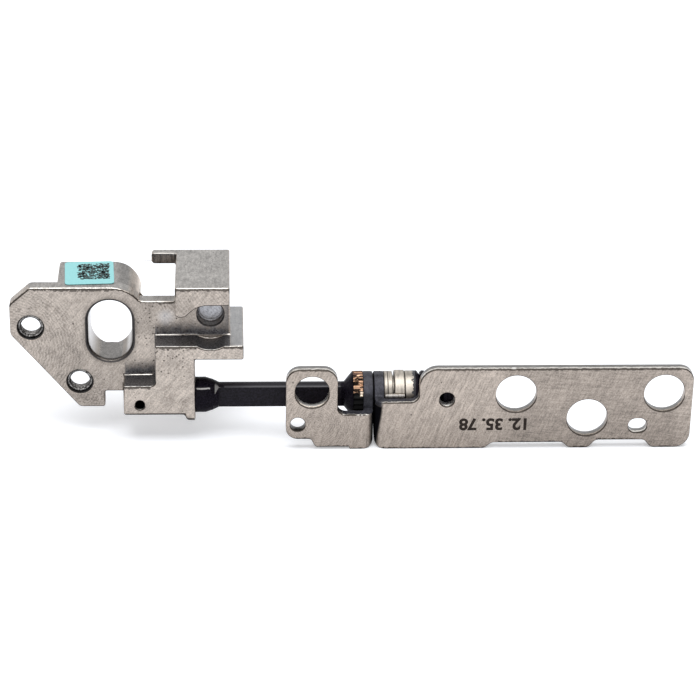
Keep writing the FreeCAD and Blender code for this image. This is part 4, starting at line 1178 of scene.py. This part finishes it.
def white_room(level):
    """White to the camera and in reflections, and at a plain level as a light."""
    world = bpy.data.worlds.new("white_room")
    world.use_nodes = True
    tree = world.node_tree
    tree.nodes.clear()
    path = tree.nodes.new("ShaderNodeLightPath")
    seen = path.outputs["Is Camera Ray"]
    for name in ("Is Glossy Ray", "Is Transmission Ray"):
        both = tree.nodes.new("ShaderNodeMath")
        both.operation = "MAXIMUM"
        tree.links.new(seen, both.inputs[0])
        tree.links.new(path.outputs[name], both.inputs[1])
        seen = both.outputs[0]
    strength = tree.nodes.new("ShaderNodeMapRange")
    strength.inputs["To Min"].default_value = level
    strength.inputs["To Max"].default_value = 1.0
    tree.links.new(seen, strength.inputs["Value"])
    background = tree.nodes.new("ShaderNodeBackground")
    background.inputs["Color"].default_value = (1.0, 1.0, 1.0, 1.0)
    tree.links.new(strength.outputs[0], background.inputs["Strength"])
    output = tree.nodes.new("ShaderNodeOutputWorld")
    tree.links.new(background.outputs[0], output.inputs["Surface"])
    bpy.context.scene.world = world


def add_floor(height):
    """A pale floor that shows white to the camera and keeps the hinge's shadow."""
    graph = Graph("pale_floor")
    tree = graph.tree
    path = graph.add("ShaderNodeLightPath")
    paint = graph.add("ShaderNodeBsdfDiffuse")
    paint.inputs["Color"].default_value = (0.88, 0.9, 0.94, 1.0)
    glow = graph.add("ShaderNodeEmission")
    graph.put(glow.inputs["Strength"], graph.times(path.outputs["Is Camera Ray"], 0.25))
    both = graph.add("ShaderNodeAddShader")
    tree.links.new(paint.outputs[0], both.inputs[0])
    tree.links.new(glow.outputs[0], both.inputs[1])
    output = graph.add("ShaderNodeOutputMaterial")
    tree.links.new(both.outputs[0], output.inputs["Surface"])
    bpy.ops.mesh.primitive_plane_add(size=FLOOR_SIZE, location=(0, 0, height))
    floor = bpy.context.object
    floor.name = "floor"
    floor.data.materials.append(graph.material)


class HINGE_OT_stage(bpy.types.Operator):
    """Set the floor, the soft lights and the camera"""

    bl_idname = "hinge.stage"
    bl_label = "Stage"

    def execute(self, context):
        stage = context.scene.hinge_stage
        target = Vector(CAMERA_TARGET) * MM
        white_room(stage.room_level)
        add_floor(cad_low.z)
        add_light("overhead", stage.overhead_power, (0.5, 0.35), (0.04, -0.05, 0.42))
        add_light("front_fill", stage.fill_power, (0.5, 0.25), (0.0, -0.5, 0.25))
        azimuth, elevation = stage.camera_azimuth, stage.camera_elevation
        back = Vector(
            (math.sin(azimuth) * math.cos(elevation), -math.cos(azimuth) * math.cos(elevation), math.sin(elevation))
        )
        data = bpy.data.cameras.new("camera")
        data.lens = stage.camera_lens
        data.sensor_width = 36.0
        data.clip_start = 0.01
        camera = bpy.data.objects.new("camera", data)
        look = (-back).to_track_quat("-Z", "Y").to_matrix().to_4x4()
        roll = Matrix.Rotation(stage.camera_roll, 4, "Z")
        camera.matrix_world = Matrix.Translation(target + back * stage.camera_distance) @ look @ roll
        context.scene.collection.objects.link(camera)
        context.scene.camera = camera
        context.scene.view_settings.view_transform = "Standard"
        return {"FINISHED"}


class HINGE_PT_finishes(bpy.types.Panel):
    bl_label = "Laptop Hinge"
    bl_idname = "HINGE_PT_finishes"
    bl_space_type = "VIEW_3D"
    bl_region_type = "UI"
    bl_category = "Hinge"

    def draw(self, context):
        for operator in OPERATORS:
            self.layout.operator(operator.bl_idname)
        for group in (context.scene.hinge_finishes, context.scene.hinge_stage):
            box = self.layout.box()
            for name in group.__annotations__:
                box.prop(group, name)


OPERATORS = (
    HINGE_OT_base_bracket,
    HINGE_OT_threads,
    HINGE_OT_label,
    HINGE_OT_shaft,
    HINGE_OT_friction_pack,
    HINGE_OT_lid_brackets,
    HINGE_OT_date_mark,
    HINGE_OT_stage,
)
CLASSES = (HingeFinishes, HingeStage, *OPERATORS, HINGE_PT_finishes)


def register():
    for item in CLASSES:
        bpy.utils.register_class(item)
    bpy.types.Scene.hinge_finishes = bpy.props.PointerProperty(type=HingeFinishes)
    bpy.types.Scene.hinge_stage = bpy.props.PointerProperty(type=HingeStage)


def unregister():
    del bpy.types.Scene.hinge_stage
    del bpy.types.Scene.hinge_finishes
    for item in reversed(CLASSES):
        bpy.utils.unregister_class(item)


def main():
    register()
    bpy.ops.hinge.base_bracket()
    bpy.ops.hinge.threads()
    bpy.ops.hinge.label()
    bpy.ops.hinge.shaft()
    bpy.ops.hinge.friction_pack()
    bpy.ops.hinge.lid_brackets()
    bpy.ops.hinge.date_mark()
    bpy.ops.hinge.stage()


if __name__ == "__main__":
    main()
